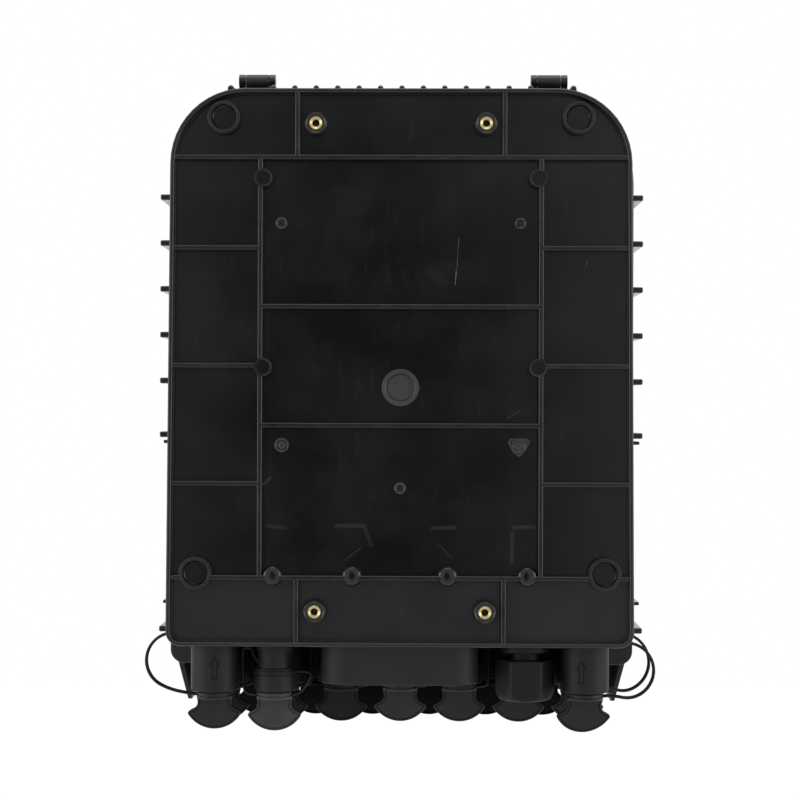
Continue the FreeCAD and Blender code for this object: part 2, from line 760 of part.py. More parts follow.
def build_cover():
    """The cover: a double-walled lid with a visor below, hinge knuckles and latch lugs."""
    body = new_body("cover_body")
    visor_half = f"{COVER_HALF} - visor_inset"
    outline = Drawing(body, "cover_outline", "XZ_Plane", COVER_BACK).rounded(
        COVER_HALF, FLANGE_LOW, FLANGE_TOP, "corner_bottom / 2", FLANGE_CORNER
    )
    add(body, outline, "cover_block", "cover_depth", back=True)
    visor = Drawing(body, "visor_outline", "XZ_Plane", COVER_BACK).polygon(
        (minus(visor_half), VISOR_LOW), (visor_half, VISOR_LOW),
        (COVER_HALF, FLANGE_LOW), (COVER_HALF, f"{FLANGE_LOW} + corner_bottom"),
        (minus(COVER_HALF), f"{FLANGE_LOW} + corner_bottom"), (minus(COVER_HALF), FLANGE_LOW),
    )
    block_with_visor = add(body, visor, "visor_block", "cover_depth", back=True)
    bevel(body, block_with_visor, "front_bevel", "cover_bevel", size(COVER_FRONT))
    crown = Drawing(body, "crown_outline", "XZ_Plane", COVER_FRONT).rounded(
        "crown_half", "crown_low", "crown_high", "crown_corner / 2", "crown_corner"
    )
    add(body, crown, "crown", "crown_height", back=True)

    deep = "cover_depth - cover_wall"
    inside = Drawing(body, "cover_inside", "XZ_Plane", COVER_BACK)
    seal_ring(inside, "seal_inset + seal_width / 2 - press_wall / 2")
    cut(body, inside, "cover_hollow", deep)
    hood_top = f"{INNER_FLOOR} - seal_inset - seal_width / 2 - press_wall / 2"
    hood = Drawing(body, "visor_inside", "XZ_Plane", COVER_BACK).polygon(
        (minus(f"{visor_half} - cover_wall"), f"{VISOR_LOW} - cover_wall"),
        (f"{visor_half} - cover_wall", f"{VISOR_LOW} - cover_wall"),
        (f"{COVER_HALF} - cover_wall", FLANGE_LOW),
        (f"{COVER_HALF} - cover_wall", hood_top),
        (minus(f"{COVER_HALF} - cover_wall"), hood_top),
        (minus(f"{COVER_HALF} - cover_wall"), FLANGE_LOW),
    )
    cut(body, hood, "visor_hollow", deep)
    arch_radius = "(arch_half * arch_half + arch_rise * arch_rise) / (2 * arch_rise)"
    arch = Drawing(body, "visor_arch", "XZ_Plane")
    arch.circle("0", f"{VISOR_LOW} + arch_rise - {arch_radius}", arch_radius)
    cut(body, arch, "visor_arch_cut")

    fittings = []
    width = "hinge_length - 2 * hinge_ear - 2 * play"
    lug_root = f"{COVER_HALF} - cover_wall / 2"
    lug_tip = f"{PIVOT_X} + lug_reach"
    for index, side in enumerate(SIDES):
        fittings += knuckle(
            f"knuckle_{index}", f"{side}hinge_x", width, COVER_BACK, f"{COVER_BACK} + knuckle_web"
        )
        for number, low in enumerate(("latch_high + play", "latch_low - play - lug")):
            fittings.append(block(
                f"lug_{index}{number}", f"{lug_tip} - ({lug_root})", "latch_barrel * 2", "lug",
                f"{side}(({lug_tip}) + ({lug_root})) / 2", PIVOT_Y, low,
            ))
    holes = [hinge_bore("cover_hinge_bore")]
    for index, side in enumerate(SIDES):
        holes.append(pivot_bar(f"cover_pivot_bore_{index}", side, "latch_pin + 2 * pin_fit"))
    without("front_cover", joined("cover_with_fittings", body, *fittings), group("cover_holes", holes))


def pivot_bar(name, side, radius):
    """A bar along a latch's pivot, from lug end to lug end."""
    return prism(
        name, MIDDLE, radius, "latch_high - latch_low + 2 * (lug + play)", f"{side}({PIVOT_X})", PIVOT_Y,
        "latch_low - lug - play",
    )


def build_gasket():
    """The seal ring that lies in the flange's groove."""
    body = new_body("cover_gasket")
    ring = Drawing(body, "gasket_outline", "XZ_Plane", "case_depth - seal_depth")
    for inset in ("seal_inset + fit", "seal_inset + seal_width - fit"):
        seal_ring(ring, inset)
    add(body, ring, "gasket_pad", "seal_depth", back=True)
    return body


def build_latch(label, side):
    """A side latch: a plate along the cover's edge with a hook behind the flange and a pin barrel."""
    body = new_body(f"{label}_body")
    length = "latch_high - latch_low"
    inner = f"{COVER_HALF} + latch_gap"
    outer = f"{inner} + latch_plate"
    hook_front = f"{FLANGE_BACK} - play"
    hook_back = f"{hook_front} - hook_thick"
    plan = Drawing(body, f"{label}_plan", "XY_Plane", "latch_low").polygon(
        (f"{side}({outer})", hook_back), (f"{side}({outer})", PIVOT_Y),
        (f"{side}({inner})", PIVOT_Y), (f"{side}({inner})", hook_front),
        (f"{side}({inner} - hook_reach)", hook_front),
        (f"{side}({inner} - hook_reach)", f"{hook_back} + hook_thick / 3"),
        (f"{side}({inner} - hook_reach / 3)", hook_back),
    )
    add(body, plan, f"{label}_plate", length)
    grip = Drawing(body, f"{label}_grip", "XY_Plane", "latch_high - grip_margin").polygon(
        (f"{side}({outer} - grip_depth)", f"{hook_back} + grip_back"),
        (f"{side}({outer} + latch_plate)", f"{hook_back} + grip_back"),
        (f"{side}({outer} + latch_plate)", f"{hook_back} + grip_back + grip_length"),
        (f"{side}({outer} - grip_depth)", f"{hook_back} + grip_back + grip_length"),
    )
    cut(body, grip, f"{label}_grip_cut", f"{length} - 2 * grip_margin")
    barrel = prism(
        f"{label}_barrel", MIDDLE, "latch_barrel", length, f"{side}({PIVOT_X})", PIVOT_Y, "latch_low"
    )
    bore = pivot_bar(f"{label}_bore", side, "latch_pin + 2 * pin_fit")
    without(label, joined(f"{label}_solid", body, barrel), bore)


def build_inserts():
    """Four brass inserts with six-sided bodies, flush with the bosses' ends."""
    pieces = []
    for index, side in enumerate(SIDES):
        for number, level in enumerate(("insert_z", "-insert_z")):
            name = f"insert_{index}{number}"
            where = (f"{side}insert_x", "0", level, FORWARD)
            sleeve = prism(f"{name}_sleeve", 6, "insert_radius", "insert_length", *where)
            thread = rod(f"{name}_thread", "insert_bore", "insert_length", *where)
            pieces.append(without(name, sleeve, thread))
    group("rear_inserts", pieces)


def build_pins():
    """The two hinge pins and the two latch pins."""
    group("hinge_pins", [
        prism(f"hinge_pin_{index}", MIDDLE, "hinge_pin", "hinge_length",
              f"{side}hinge_x - hinge_length / 2", HINGE_Y, HINGE_Z, ACROSS)
        for index, side in enumerate(SIDES)
    ])
    group("latch_pins", [
        pivot_bar(f"latch_pin_{index}", side, "latch_pin") for index, side in enumerate(SIDES)
    ])


def build_oval_seal():
    """The rubber plug that closes the oval entry."""
    body = new_body("oval_port_seal")
    low = f"{FLOOR} - oval_length + oval_seal_lift"
    oval = Drawing(body, "oval_seal_outline", "XY_Plane", low).stadium(
        "oval_half - oval_wall - pin_fit", "oval_y", "oval_radius - oval_wall - pin_fit"
    )
    add(body, oval, "oval_seal_pad", "oval_seal")
    return body


def build_gland():
    """The cable gland: body through the floor, locknut inside, nut and rubber seal outside."""
    x, y = GLAND
    nut_top = f"{FLOOR} - gland_shoulder_thick - gland_step"
    nut_end = f"{nut_top} - gland_nut_length"
    seal_low = f"{nut_end} + gland_nut_lip"
    inner_end = f"{seal_low} + gland_seal_length"
    top = f"{INNER_FLOOR} + gland_shank_length"
    outside = joined(
        "gland_body_outside",
        prism("gland_shank_bar", FINE, "gland_shank", f"{top} - ({inner_end})", x, y, inner_end),
        prism("gland_shoulder_disc", FINE, "gland_shoulder", "gland_shoulder_thick", x, y,
              f"{FLOOR} - gland_shoulder_thick"),
    )
    passage = prism("gland_passage", FINE, "gland_bore", f"{top} - ({inner_end})", x, y, inner_end)
    without("gland_body", outside, passage)

    nut_bar = prism("gland_nut_bar", 6, "gland_nut_corner", "gland_nut_length", x, y, nut_end)
    cone = doc.addObject("Part::Cone", "gland_nut_cone")
    wide = "gland_nut_round + gland_nut_length"
    tie(cone, Radius1="gland_nut_round", Radius2=wide, Height="gland_nut_length")
    place(cone, x, y, nut_end)
    dome = doc.addObject("Part::Common", "gland_nut_form")
    dome.Base = nut_bar
    dome.Tool = cone
    # The nut turns on a many-sided shank, so its bore clears the shank's corners in every position
    thread = "gland_shank + thread_play"
    hollow = joined(
        "gland_nut_hollow",
        prism("gland_nut_thread", FINE, thread, "gland_nut_length - gland_nut_lip", x, y, seal_low),
        prism("gland_nut_mouth", FINE, "gland_mouth", "gland_nut_lip", x, y, nut_end),
    )
    without("gland_nut", dome, hollow)
    sleeve = prism("gland_sleeve", FINE, "gland_shank - play", "gland_seal_length", x, y, seal_low)
    cable = rod("gland_cable_way", "gland_cable", "gland_seal_length", x, y, seal_low)
    without("gland_seal", sleeve, cable)
    ring = prism("gland_locknut_ring", FINE, "locknut_radius", "locknut_thick", x, y, INNER_FLOOR)
    bore = prism("gland_locknut_bore", FINE, "gland_shank + pin_fit", "locknut_thick", x, y, INNER_FLOOR)
    without("gland_locknut", ring, bore)


def build_input():
    """The flanged input port, pushed into the floor."""
    x, y = INPUT
    top = f"{INNER_FLOOR} + input_lip"
    outside = joined(
        "input_outside",
        prism("input_shank_rod", FINE, "input_shank", f"{top} - ({FLOOR})", x, y, FLOOR),
        prism("input_flange_rod", FINE, "input_flange", "input_flange_thick", x, y,
              f"{FLOOR} - input_flange_thick"),
        prism("input_neck_rod", FINE, "input_neck", f"{FLOOR} - ({INPUT_NECK_END})", x, y, INPUT_NECK_END),
        prism("input_collar_rod", FINE, "input_collar", f"{INPUT_NECK_END} - ({PORT_END})", x, y, PORT_END),
    )
    length = f"{top} - ({PORT_END})"
    passage = block("input_passage", "opening_width", "opening_depth", length, x, y, PORT_END)
    without("input_adapter", outside, passage)


def build_adapters():
    """Adapters that stand on the inner floor over the moulded ports, one group for each row."""
    for number, ports in enumerate((ROW_1, ROW_2, ROW_3), 1):
        pieces = []
        for index, (x, y) in enumerate(ports):
            name = f"adapter_{number}{index}"
            foot = block(f"{name}_foot", "adapter_flange", "adapter_flange", "adapter_flange_thick",
                         x, y, INNER_FLOOR)
            tower = block(f"{name}_tower", "adapter_width", "adapter_depth", "adapter_height",
                          x, y, f"{INNER_FLOOR} + adapter_flange_thick")
            pieces.append(joined(name, foot, tower))
        group(f"sc_adapters_row_{number}", pieces)


# Straight runs in the curved lower edge of a cap's pull tab
FAN_RUNS = 8


def fan_face():
    """The outline of a cap's pull tab: a neck, sloping flanks, blunt wing tips and a curved lower edge."""
    neck, half, tip = size("fan_neck"), size("fan_half"), size("fan_tip")
    shoulder, wing = -size("fan_shoulder"), -size("fan_wing")
    reach, rise = half - size("fan_tuck"), wing - tip
    drop = size("fan_height") + rise
    radius = (reach ** 2 + drop ** 2) / (2 * drop)
    turn = math.asin(reach / radius)
    lower = []
    for run in range(FAN_RUNS + 1):
        angle = turn * (1 - 2 * run / FAN_RUNS)
        lower.append((radius * math.sin(angle), rise - drop + radius * (1 - math.cos(angle))))
    right = [(neck, 0), (neck, shoulder), (half, wing)]
    left = [(-across, up) for across, up in reversed(right)]
    corners = [Vector(across, 0, up) for across, up in right + lower + left]
    return Part.Face(Part.makePolygon(corners + corners[:1]))


def build_caps():
    """One dust cap's form, and a copy of it at every port."""
    face = doc.addObject("Part::Feature", "fan_outline")
    face.Shape = fan_face()
    tab = doc.addObject("Part::Extrusion", "fan_tab")
    tab.Base = face
    tab.DirMode = "Custom"
    tab.Dir = Vector(0, 1, 0)
    tab.Symmetric = True
    tab.Solid = True
    tie(tab, LengthFwd="fan_thick")
    place(tab, z="-cap_collar_thick")
    form = joined(
        "cap_form",
        block("cap_plug", "opening_width - 2 * play", "opening_depth - 2 * play", "cap_plug_length + cap_gap",
              "0", "0", "0"),
        prism("cap_collar_disc", MIDDLE, "cap_collar", "cap_collar_thick", "0", "0", "-cap_collar_thick"),
        tab,
    )
    doc.recompute()
    for number, (x, y) in enumerate(CAP_PORTS, 1):
        cap = doc.addObject("Part::Feature", f"dust_cap_{number:02d}")
        cap.Shape = form.Shape
        place(cap, x, y, CAP_TOP)


def tangent(centre, radius, point, turn):
    """Where a line through a point touches a circle, as an angle, leaving (-1) or arriving (+1)."""
    across, up = point[0] - centre[0], point[1] - centre[1]
    return math.atan2(up, across) + turn * math.acos(radius / math.hypot(across, up))


def on_circle(centre, radius, angle):
    """The point of a circle at an angle."""
    return (centre[0] + radius * math.cos(angle), centre[1] + radius * math.sin(angle))


# Straight runs in a strap's wide loop
LOOP_RUNS = 10
# makePipeShell's way of joining runs that meet at an angle
SHARP_TURNS = 1


def band(points, depth):
    """A flat strap along straight runs from point to point in an upright plane."""
    spots = [Vector(across, depth, up) for across, up in points]
    start = spots[0]
    ahead = (spots[1] - start).normalize()
    broad = Vector(0, size("strap_width") / 2, 0)
    thin = ahead.cross(Vector(0, 1, 0)) * (size("strap") / 2)
    corners = [start + broad + thin, start - broad + thin, start - broad - thin, start + broad - thin]
    section = Part.makePolygon(corners + corners[:1])
    return Part.makePolygon(spots).makePipeShell([section], True, False, SHARP_TURNS)


# Share of a drop's spread that its bevelled turn takes
DROP_BEND = 0.6


def drop_route(x, spread):
    """From the floor beside a port straight down, then round into the cap's collar."""
    collar = x + size("cap_collar + play")
    low = size(f"{CAP_TOP} - cap_collar_thick / 2")
    bend = (x + spread - collar) * DROP_BEND
    return [(x + spread, size(FLOOR)), (x + spread, low + bend), (x + spread - bend, low), (collar, low)]


def loop_route(x, side, height, grow):
    """From the case's side in a wide loop outside it, then in to the cap's collar."""
    radius = size("loop_radius") + grow
    centre = (size("loop_x"), size(height))
    end = (abs(x) + size("cap_collar + play"), size(f"{CAP_TOP} - cap_collar_thick / 2"))
    wall = size("case_half_width")
    bottom = size("case_half_height")
    bend = size("corner_bottom")
    crest = centre[1] + radius + size("strap / 2")
    reach = wall
    if crest < bend - bottom:
        # The loop meets the case on its rounded lower corner
        reach = wall - bend + math.sqrt(bend ** 2 - (bend - bottom - crest) ** 2)
    start = math.acos((reach - centre[0]) / radius)
    leave = tangent(centre, radius, end, 1)
    turns = [start + (leave - start) * run / LOOP_RUNS for run in range(LOOP_RUNS + 1)]
    points = [on_circle(centre, radius, turn) for turn in turns] + [end]
    return [(side * across, up) for across, up in points]


def input_route(x):
    """From the input port's neck up, over in a tight bend, down beside it and in to the cap's collar."""
    root = (x - size("input_neck + strap"), size("strap_root_z"))
    collar = x - size("cap_collar + play")
    low = size(f"{CAP_TOP} - cap_collar_thick / 2")
    left, right = -size("bend_x + bend_radius"), size("bend_radius - bend_x")
    top = size("bend_z + bend_radius")
    bend = (collar - left) * DROP_BEND
    return [
        root, (right, size("bend_z")), (size("bend_radius / 2 - bend_x"), top),
        (-size("bend_x + bend_radius / 2"), top), (left, size("bend_z")), (left, low + bend),
        (left + bend, low), (collar, low),
    ]


def build_tethers():
    """A strap for every cap: wide loops at the case's sides, a bent one at the input, drops elsewhere."""
    for number, (across, depth) in enumerate(CAP_PORTS, 1):
        x = size(across)
        if number == LEFT_LOOP_CAP:
            points = loop_route(x, -1, "loop_left_z", 0)
        elif number in RIGHT_LOOP_CAPS:
            points = loop_route(x, 1, "loop_right_z", size("strap") * RIGHT_LOOP_CAPS.index(number))
        elif number == INPUT_CAP:
            points = input_route(x)
        else:
            points = drop_route(x, size("strap_spread"))
        tether = doc.addObject("Part::Feature", f"cap_tether_{number:02d}")
        tether.Shape = band(points, size(depth))


# How much shorter a slanted corner gets on an outline inside, for each step inwards
CORNER_STEP = 2 - math.sqrt(2)


def cut_corners(drawing, inset):
    """The tray's eight-cornered outline, or one inside it."""
    half, low, high = f"tray_half - {inset}", f"tray_low + {inset}", f"tray_high - {inset}"
    slant = f"tray_corner - {inset} * {CORNER_STEP:.4f}"
    return drawing.polygon(
        (minus(f"{half} - ({slant})"), low), (f"{half} - ({slant})", low),
        (half, f"{low} + {slant}"), (half, f"{high} - ({slant})"),
        (f"{half} - ({slant})", high), (minus(f"{half} - ({slant})"), high),
        (minus(half), f"{high} - ({slant})"), (minus(half), f"{low} + {slant}"),
    )


def build_tray():
    """The splice tray: a rimmed plate with two fibre spools, a splice comb and four screw holes."""
    body = new_body("tray_body")
    outline = Drawing(body, "tray_outline", "XZ_Plane", "tray_y")
    add(body, cut_corners(outline, "0"), "tray_block", "tray_height", back=True)
    inside = Drawing(body, "tray_inside", "XZ_Plane", "tray_y + tray_height")
    cut(body, cut_corners(inside, "tray_skin"), "tray_hollow", "tray_height - tray_skin", back=True)
    start = "-comb_pitch * (comb_count - 1) / 2"
    comb = Drawing(body, "comb_rib_plan", "XZ_Plane", "tray_y + tray_skin").bar(
        f"{start} - comb_rib / 2", f"{start} + comb_rib / 2",
        "comb_z - comb_length / 2", "comb_z + comb_length / 2",
    )
    rib = add(body, comb, "comb_rib_pad", "comb_height", back=True)
    repeat(body, rib, "comb_row", "X_Axis", "comb_pitch", "comb_count")
    spools, holes = [], []
    seat = "tray_y + tray_skin"
    rise = "tray_height - 2 * tray_skin"
    for index, side in enumerate(SIDES):
        x = f"{side}spool_x"
        drum = prism(f"spool_{index}", FINE, "spool", rise, x, seat, "spool_z", FORWARD)
        core = prism(f"spool_core_{index}", FINE, "spool - spool_wall", rise, x, seat, "spool_z", FORWARD)
        spools.append(without(f"spool_ring_{index}", drum, core))
        for number, level in enumerate(("tray_post_low", "tray_post_high")):
            holes.append(prism(
                f"tray_hole_{index}{number}", COARSE, "screw_shank", "tray_skin",
                f"{side}tray_post_x", "tray_y", level, FORWARD,
            ))
    without("splice_tray", joined("tray_with_spools", body, *spools), group("tray_holes", holes))


def screw(name, x, y, z, seat):
    """A hexagon-head screw that points to the rear, its head on a sheet of the given thickness."""
    shank = prism(f"{name}_shank", COARSE, "screw_shank - pin_fit", f"screw_depth + {seat} - play", x,
                  f"{y} - screw_depth + play", z, FORWARD)
    head = prism(f"{name}_head", 6, "screw_head", "screw_head_height", x, f"{y} + {seat}", z, FORWARD)
    return joined(name, shank, head)


def build_fittings():
    """Tray screws, the splitter module, and the strength clamp with its screw."""
    screws = []
    for index, side in enumerate(SIDES):
        for number, level in enumerate(("tray_post_low", "tray_post_high")):
            name = f"tray_screw_{index}{number}"
            screws.append(screw(name, f"{side}tray_post_x", "tray_y", level, "tray_skin"))
    group("tray_screws", screws)

    block(
        "splitter_module", "splitter_half * 2", "splitter_thick", "splitter_high - splitter_low",
        "0", f"{PANEL_FRONT} + splitter_thick / 2", "splitter_low",
    )

    plate = block(
        "clamp_plate", "clamp_half * 2", "clamp_thick", "clamp_tall * 2",
        "clamp_x", f"{CLAMP_SEAT} + clamp_thick / 2", "clamp_z - clamp_tall",
    )
    hole = prism(
        "clamp_hole", COARSE, "screw_shank", "clamp_thick", "clamp_x", CLAMP_SEAT, "clamp_z", FORWARD
    )
    without("strength_clamp", plate, hole)
    screw("clamp_screw", "clamp_x", CLAMP_SEAT, "clamp_z", "clamp_thick")


# Every dust cap's port: the rear row with the input, then the two rows in front of it
CAP_PORTS = [ROW_1[0], INPUT, ROW_1[1]] + ROW_2 + ROW_3
LEFT_LOOP_CAP = 1
INPUT_CAP = 2
RIGHT_LOOP_CAPS = [3, 10]

SUB_PARTS = [
    "base_shell", "front_cover", "cover_gasket", "hinge_pins", "latch_left", "latch_right", "latch_pins",
    "rear_inserts", "oval_port_seal", "gland_body", "gland_nut", "gland_seal", "gland_locknut",
    "input_adapter", "sc_adapters_row_1", "sc_adapters_row_2", "sc_adapters_row_3",
    "splice_tray", "tray_screws", "splitter_module", "strength_clamp", "clamp_screw",
]
SUB_PARTS += [f"dust_cap_{number:02d}" for number in range(1, len(CAP_PORTS) + 1)]
SUB_PARTS += [f"cap_tether_{number:02d}" for number in range(1, len(CAP_PORTS) + 1)]

build_base()
build_cover()
build_gasket()
build_latch("latch_left", "-")
build_latch("latch_right", "")
build_inserts()
build_pins()
build_oval_seal()
build_gland()
build_input()
build_adapters()
build_caps()
build_tethers()
build_tray()
build_fittings()
doc.recompute()

for item in doc.Objects:
    if "Invalid" in item.State or "Error" in item.State:
        raise RuntimeError(f"{item.Label} did not recompute: {item.State}")
os.makedirs("parts", exist_ok=True)
for label in SUB_PARTS:
    piece = doc.getObject(label)
    if piece.Shape.isNull() or not piece.Shape.isValid():
        raise RuntimeError(f"{label} has no valid shape")
    piece.Shape.exportStep(os.path.join("parts", f"{label}.step"))
    print(f"{label}: {len(piece.Shape.Solids)} solids, {piece.Shape.Volume / 1000:.1f} cm3")
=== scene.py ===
"""Looks of the fibre termination box: its rear with ribs and bosses, ports, caps, straps and fittings.

Sizes in the classes are millimetres in the part's own frame: X along the width, Y from the rear rim to the
cover, Z up. Meshes are metres.
"""

import logging
import math
from collections.abc import Iterable, Sequence
from dataclasses import dataclass
from enum import Enum

import bmesh
import bpy
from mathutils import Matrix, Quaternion, Vector

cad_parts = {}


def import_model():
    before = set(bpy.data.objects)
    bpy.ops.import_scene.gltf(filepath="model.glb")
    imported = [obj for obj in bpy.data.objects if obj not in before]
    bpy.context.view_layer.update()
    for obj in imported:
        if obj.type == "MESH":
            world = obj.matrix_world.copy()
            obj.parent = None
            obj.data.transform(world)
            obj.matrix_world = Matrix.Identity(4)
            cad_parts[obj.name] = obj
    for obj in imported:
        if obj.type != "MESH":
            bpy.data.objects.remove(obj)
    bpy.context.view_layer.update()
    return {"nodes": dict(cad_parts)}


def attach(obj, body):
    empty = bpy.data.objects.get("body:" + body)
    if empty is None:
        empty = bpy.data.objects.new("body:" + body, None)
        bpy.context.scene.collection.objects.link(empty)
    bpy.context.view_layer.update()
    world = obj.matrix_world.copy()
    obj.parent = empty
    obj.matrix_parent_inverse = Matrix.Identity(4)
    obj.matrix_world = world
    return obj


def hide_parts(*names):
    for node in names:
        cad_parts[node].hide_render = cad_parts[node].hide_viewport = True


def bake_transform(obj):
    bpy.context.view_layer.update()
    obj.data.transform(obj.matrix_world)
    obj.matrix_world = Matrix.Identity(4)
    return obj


Pair = tuple[float, float]
Pairs = tuple[Pair, ...]
Flat = list[Pair]
Ring = list[Vector]
Colour = tuple[float, float, float]
Socket = bpy.types.NodeSocket

MM = 0.001
SIDES = (-1, 1)
SHARP = math.radians(38)
CORNER_STEPS = 12
OVAL_STEPS = 24
EDGE_STEPS = 3
WHITE = (1, 1, 1, 1)
CASE_PART = ("case_plastic", "base", "base_shell")
INSERT_PLACES: Pairs = ((-42.75, 122.5), (42.75, 122.5), (-42.75, -122.5), (42.75, -122.5))
LOG = logging.getLogger("fibre_box")


class Axis(Enum):
    """The axis along which an outline is drawn out or turned."""

    X = "x"
    Y = "y"
    Z = "z"

    def place(self, across: float, up: float, along: float) -> Vector:
        """Puts a point of a flat outline at a height along the axis.

        Args:
            across: The outline's first coordinate (Y for X, X for Y and Z).
            up: The outline's second coordinate (Z for X and Y, Y for Z).
            along: The height along the axis.

        Returns:
            The point in the part's frame, in millimetres.
        """
        if self is Axis.X:
            return Vector((along, across, up))
        if self is Axis.Y:
            return Vector((across, along, up))
        return Vector((across, up, along))

    def ring(self, outline: Flat, along: float) -> Ring:
        """A flat outline's points at a height along the axis."""
        return [self.place(across, up, along) for across, up in outline]


def arc_points(centre: Pair, radius: float, start: float, end: float, steps: int) -> Flat:
    """Points along an arc between two angles in degrees, one more than there are steps."""
    turns = [math.radians(start + (end - start) * step / steps) for step in range(steps + 1)]
    return [(centre[0] + radius * math.cos(turn), centre[1] + radius * math.sin(turn)) for turn in turns]


def circle(centre: Pair, radius: float, steps: int) -> Flat:
    """Points all round a circle, as many as there are steps."""
    return arc_points(centre, radius, 0, 360, steps)[:-1]


def rounded_box(half: float, low: float, high: float, round_low: float, round_high: float) -> Flat:
    """A rectangle about the upright axis with rounded corners, counter-clockwise.

    Args:
        half: Half the width.
        low: Lower edge.
        high: Upper edge.
        round_low: Radius of the lower corners.
        round_high: Radius of the upper corners.

    Returns:
        The closed outline's points.
    """
    points: Flat = []
    points += arc_points((half - round_low, low + round_low), round_low, -90, 0, CORNER_STEPS)
    points += arc_points((half - round_high, high - round_high), round_high, 0, 90, CORNER_STEPS)
    points += arc_points((round_high - half, high - round_high), round_high, 90, 180, CORNER_STEPS)
    points += arc_points((round_low - half, low + round_low), round_low, 180, 270, CORNER_STEPS)
    return points


def stadium(half: float, middle: float, radius: float) -> Flat:
    """An oval with straight long sides, counter-clockwise.

    Args:
        half: Half the whole length.
        middle: Second coordinate of its middle line.
        radius: Radius of its ends.

    Returns:
        The closed outline's points.
    """
    reach = half - radius
    right = arc_points((reach, middle), radius, -90, 90, OVAL_STEPS)
    return right + arc_points((-reach, middle), radius, 90, 270, OVAL_STEPS)


def inset(outline: Flat, distance: float) -> Flat:
    """Moves each side of a counter-clockwise outline inwards.

    Args:
        outline: The closed outline.
        distance: How far inwards.

    Returns:
        The moved outline, with as many points.
    """
    moved: Flat = []
    least_spread = 0.35
    count = len(outline)
    for index, (x, y) in enumerate(outline):
        before, after = outline[index - 1], outline[(index + 1) % count]
        first = Vector((before[1] - y, x - before[0])).normalized()
        second = Vector((y - after[1], after[0] - x)).normalized()
        spread = max(least_spread, 1 + first.dot(second))
        shift = (first + second) * (distance / spread)
        moved.append((x + shift.x, y + shift.y))
    return moved


def quarter(edge: float) -> Flat:
    """A rounded edge of a radius as pairs of inset and depth below the end, from the flat end to the side."""
    turns = [math.pi / 2 * step / EDGE_STEPS for step in range(EDGE_STEPS + 1)]
    return [(edge * (1 - math.sin(turn)), edge * (1 - math.cos(turn))) for turn in turns]


def add_object(name: str, data: bpy.types.ID) -> bpy.types.Object:
    """Links a new object into the scene.

    Args:
        name: The object's name.
        data: Its mesh, curve, light or camera.

    Returns:
        The object, at the origin.
    """
    item = bpy.data.objects.new(name, data)
    bpy.context.scene.collection.objects.link(item)
    return item


def plain_mesh(carrier: bpy.types.Object) -> bpy.types.Mesh:
    """A plain mesh of an object with its modifiers applied."""
    evaluated = carrier.evaluated_get(bpy.context.evaluated_depsgraph_get())
    return bpy.data.meshes.new_from_object(evaluated)


def smooth(mesh: bpy.types.Mesh) -> bpy.types.Mesh:
    """Shades a mesh smooth but for its sharp edges.

    Args:
        mesh: The mesh.

    Returns:
        The same mesh.
    """
    mesh.polygons.foreach_set("use_smooth", [True] * len(mesh.polygons))
    mesh.set_sharp_from_angle(angle=SHARP)
    return mesh


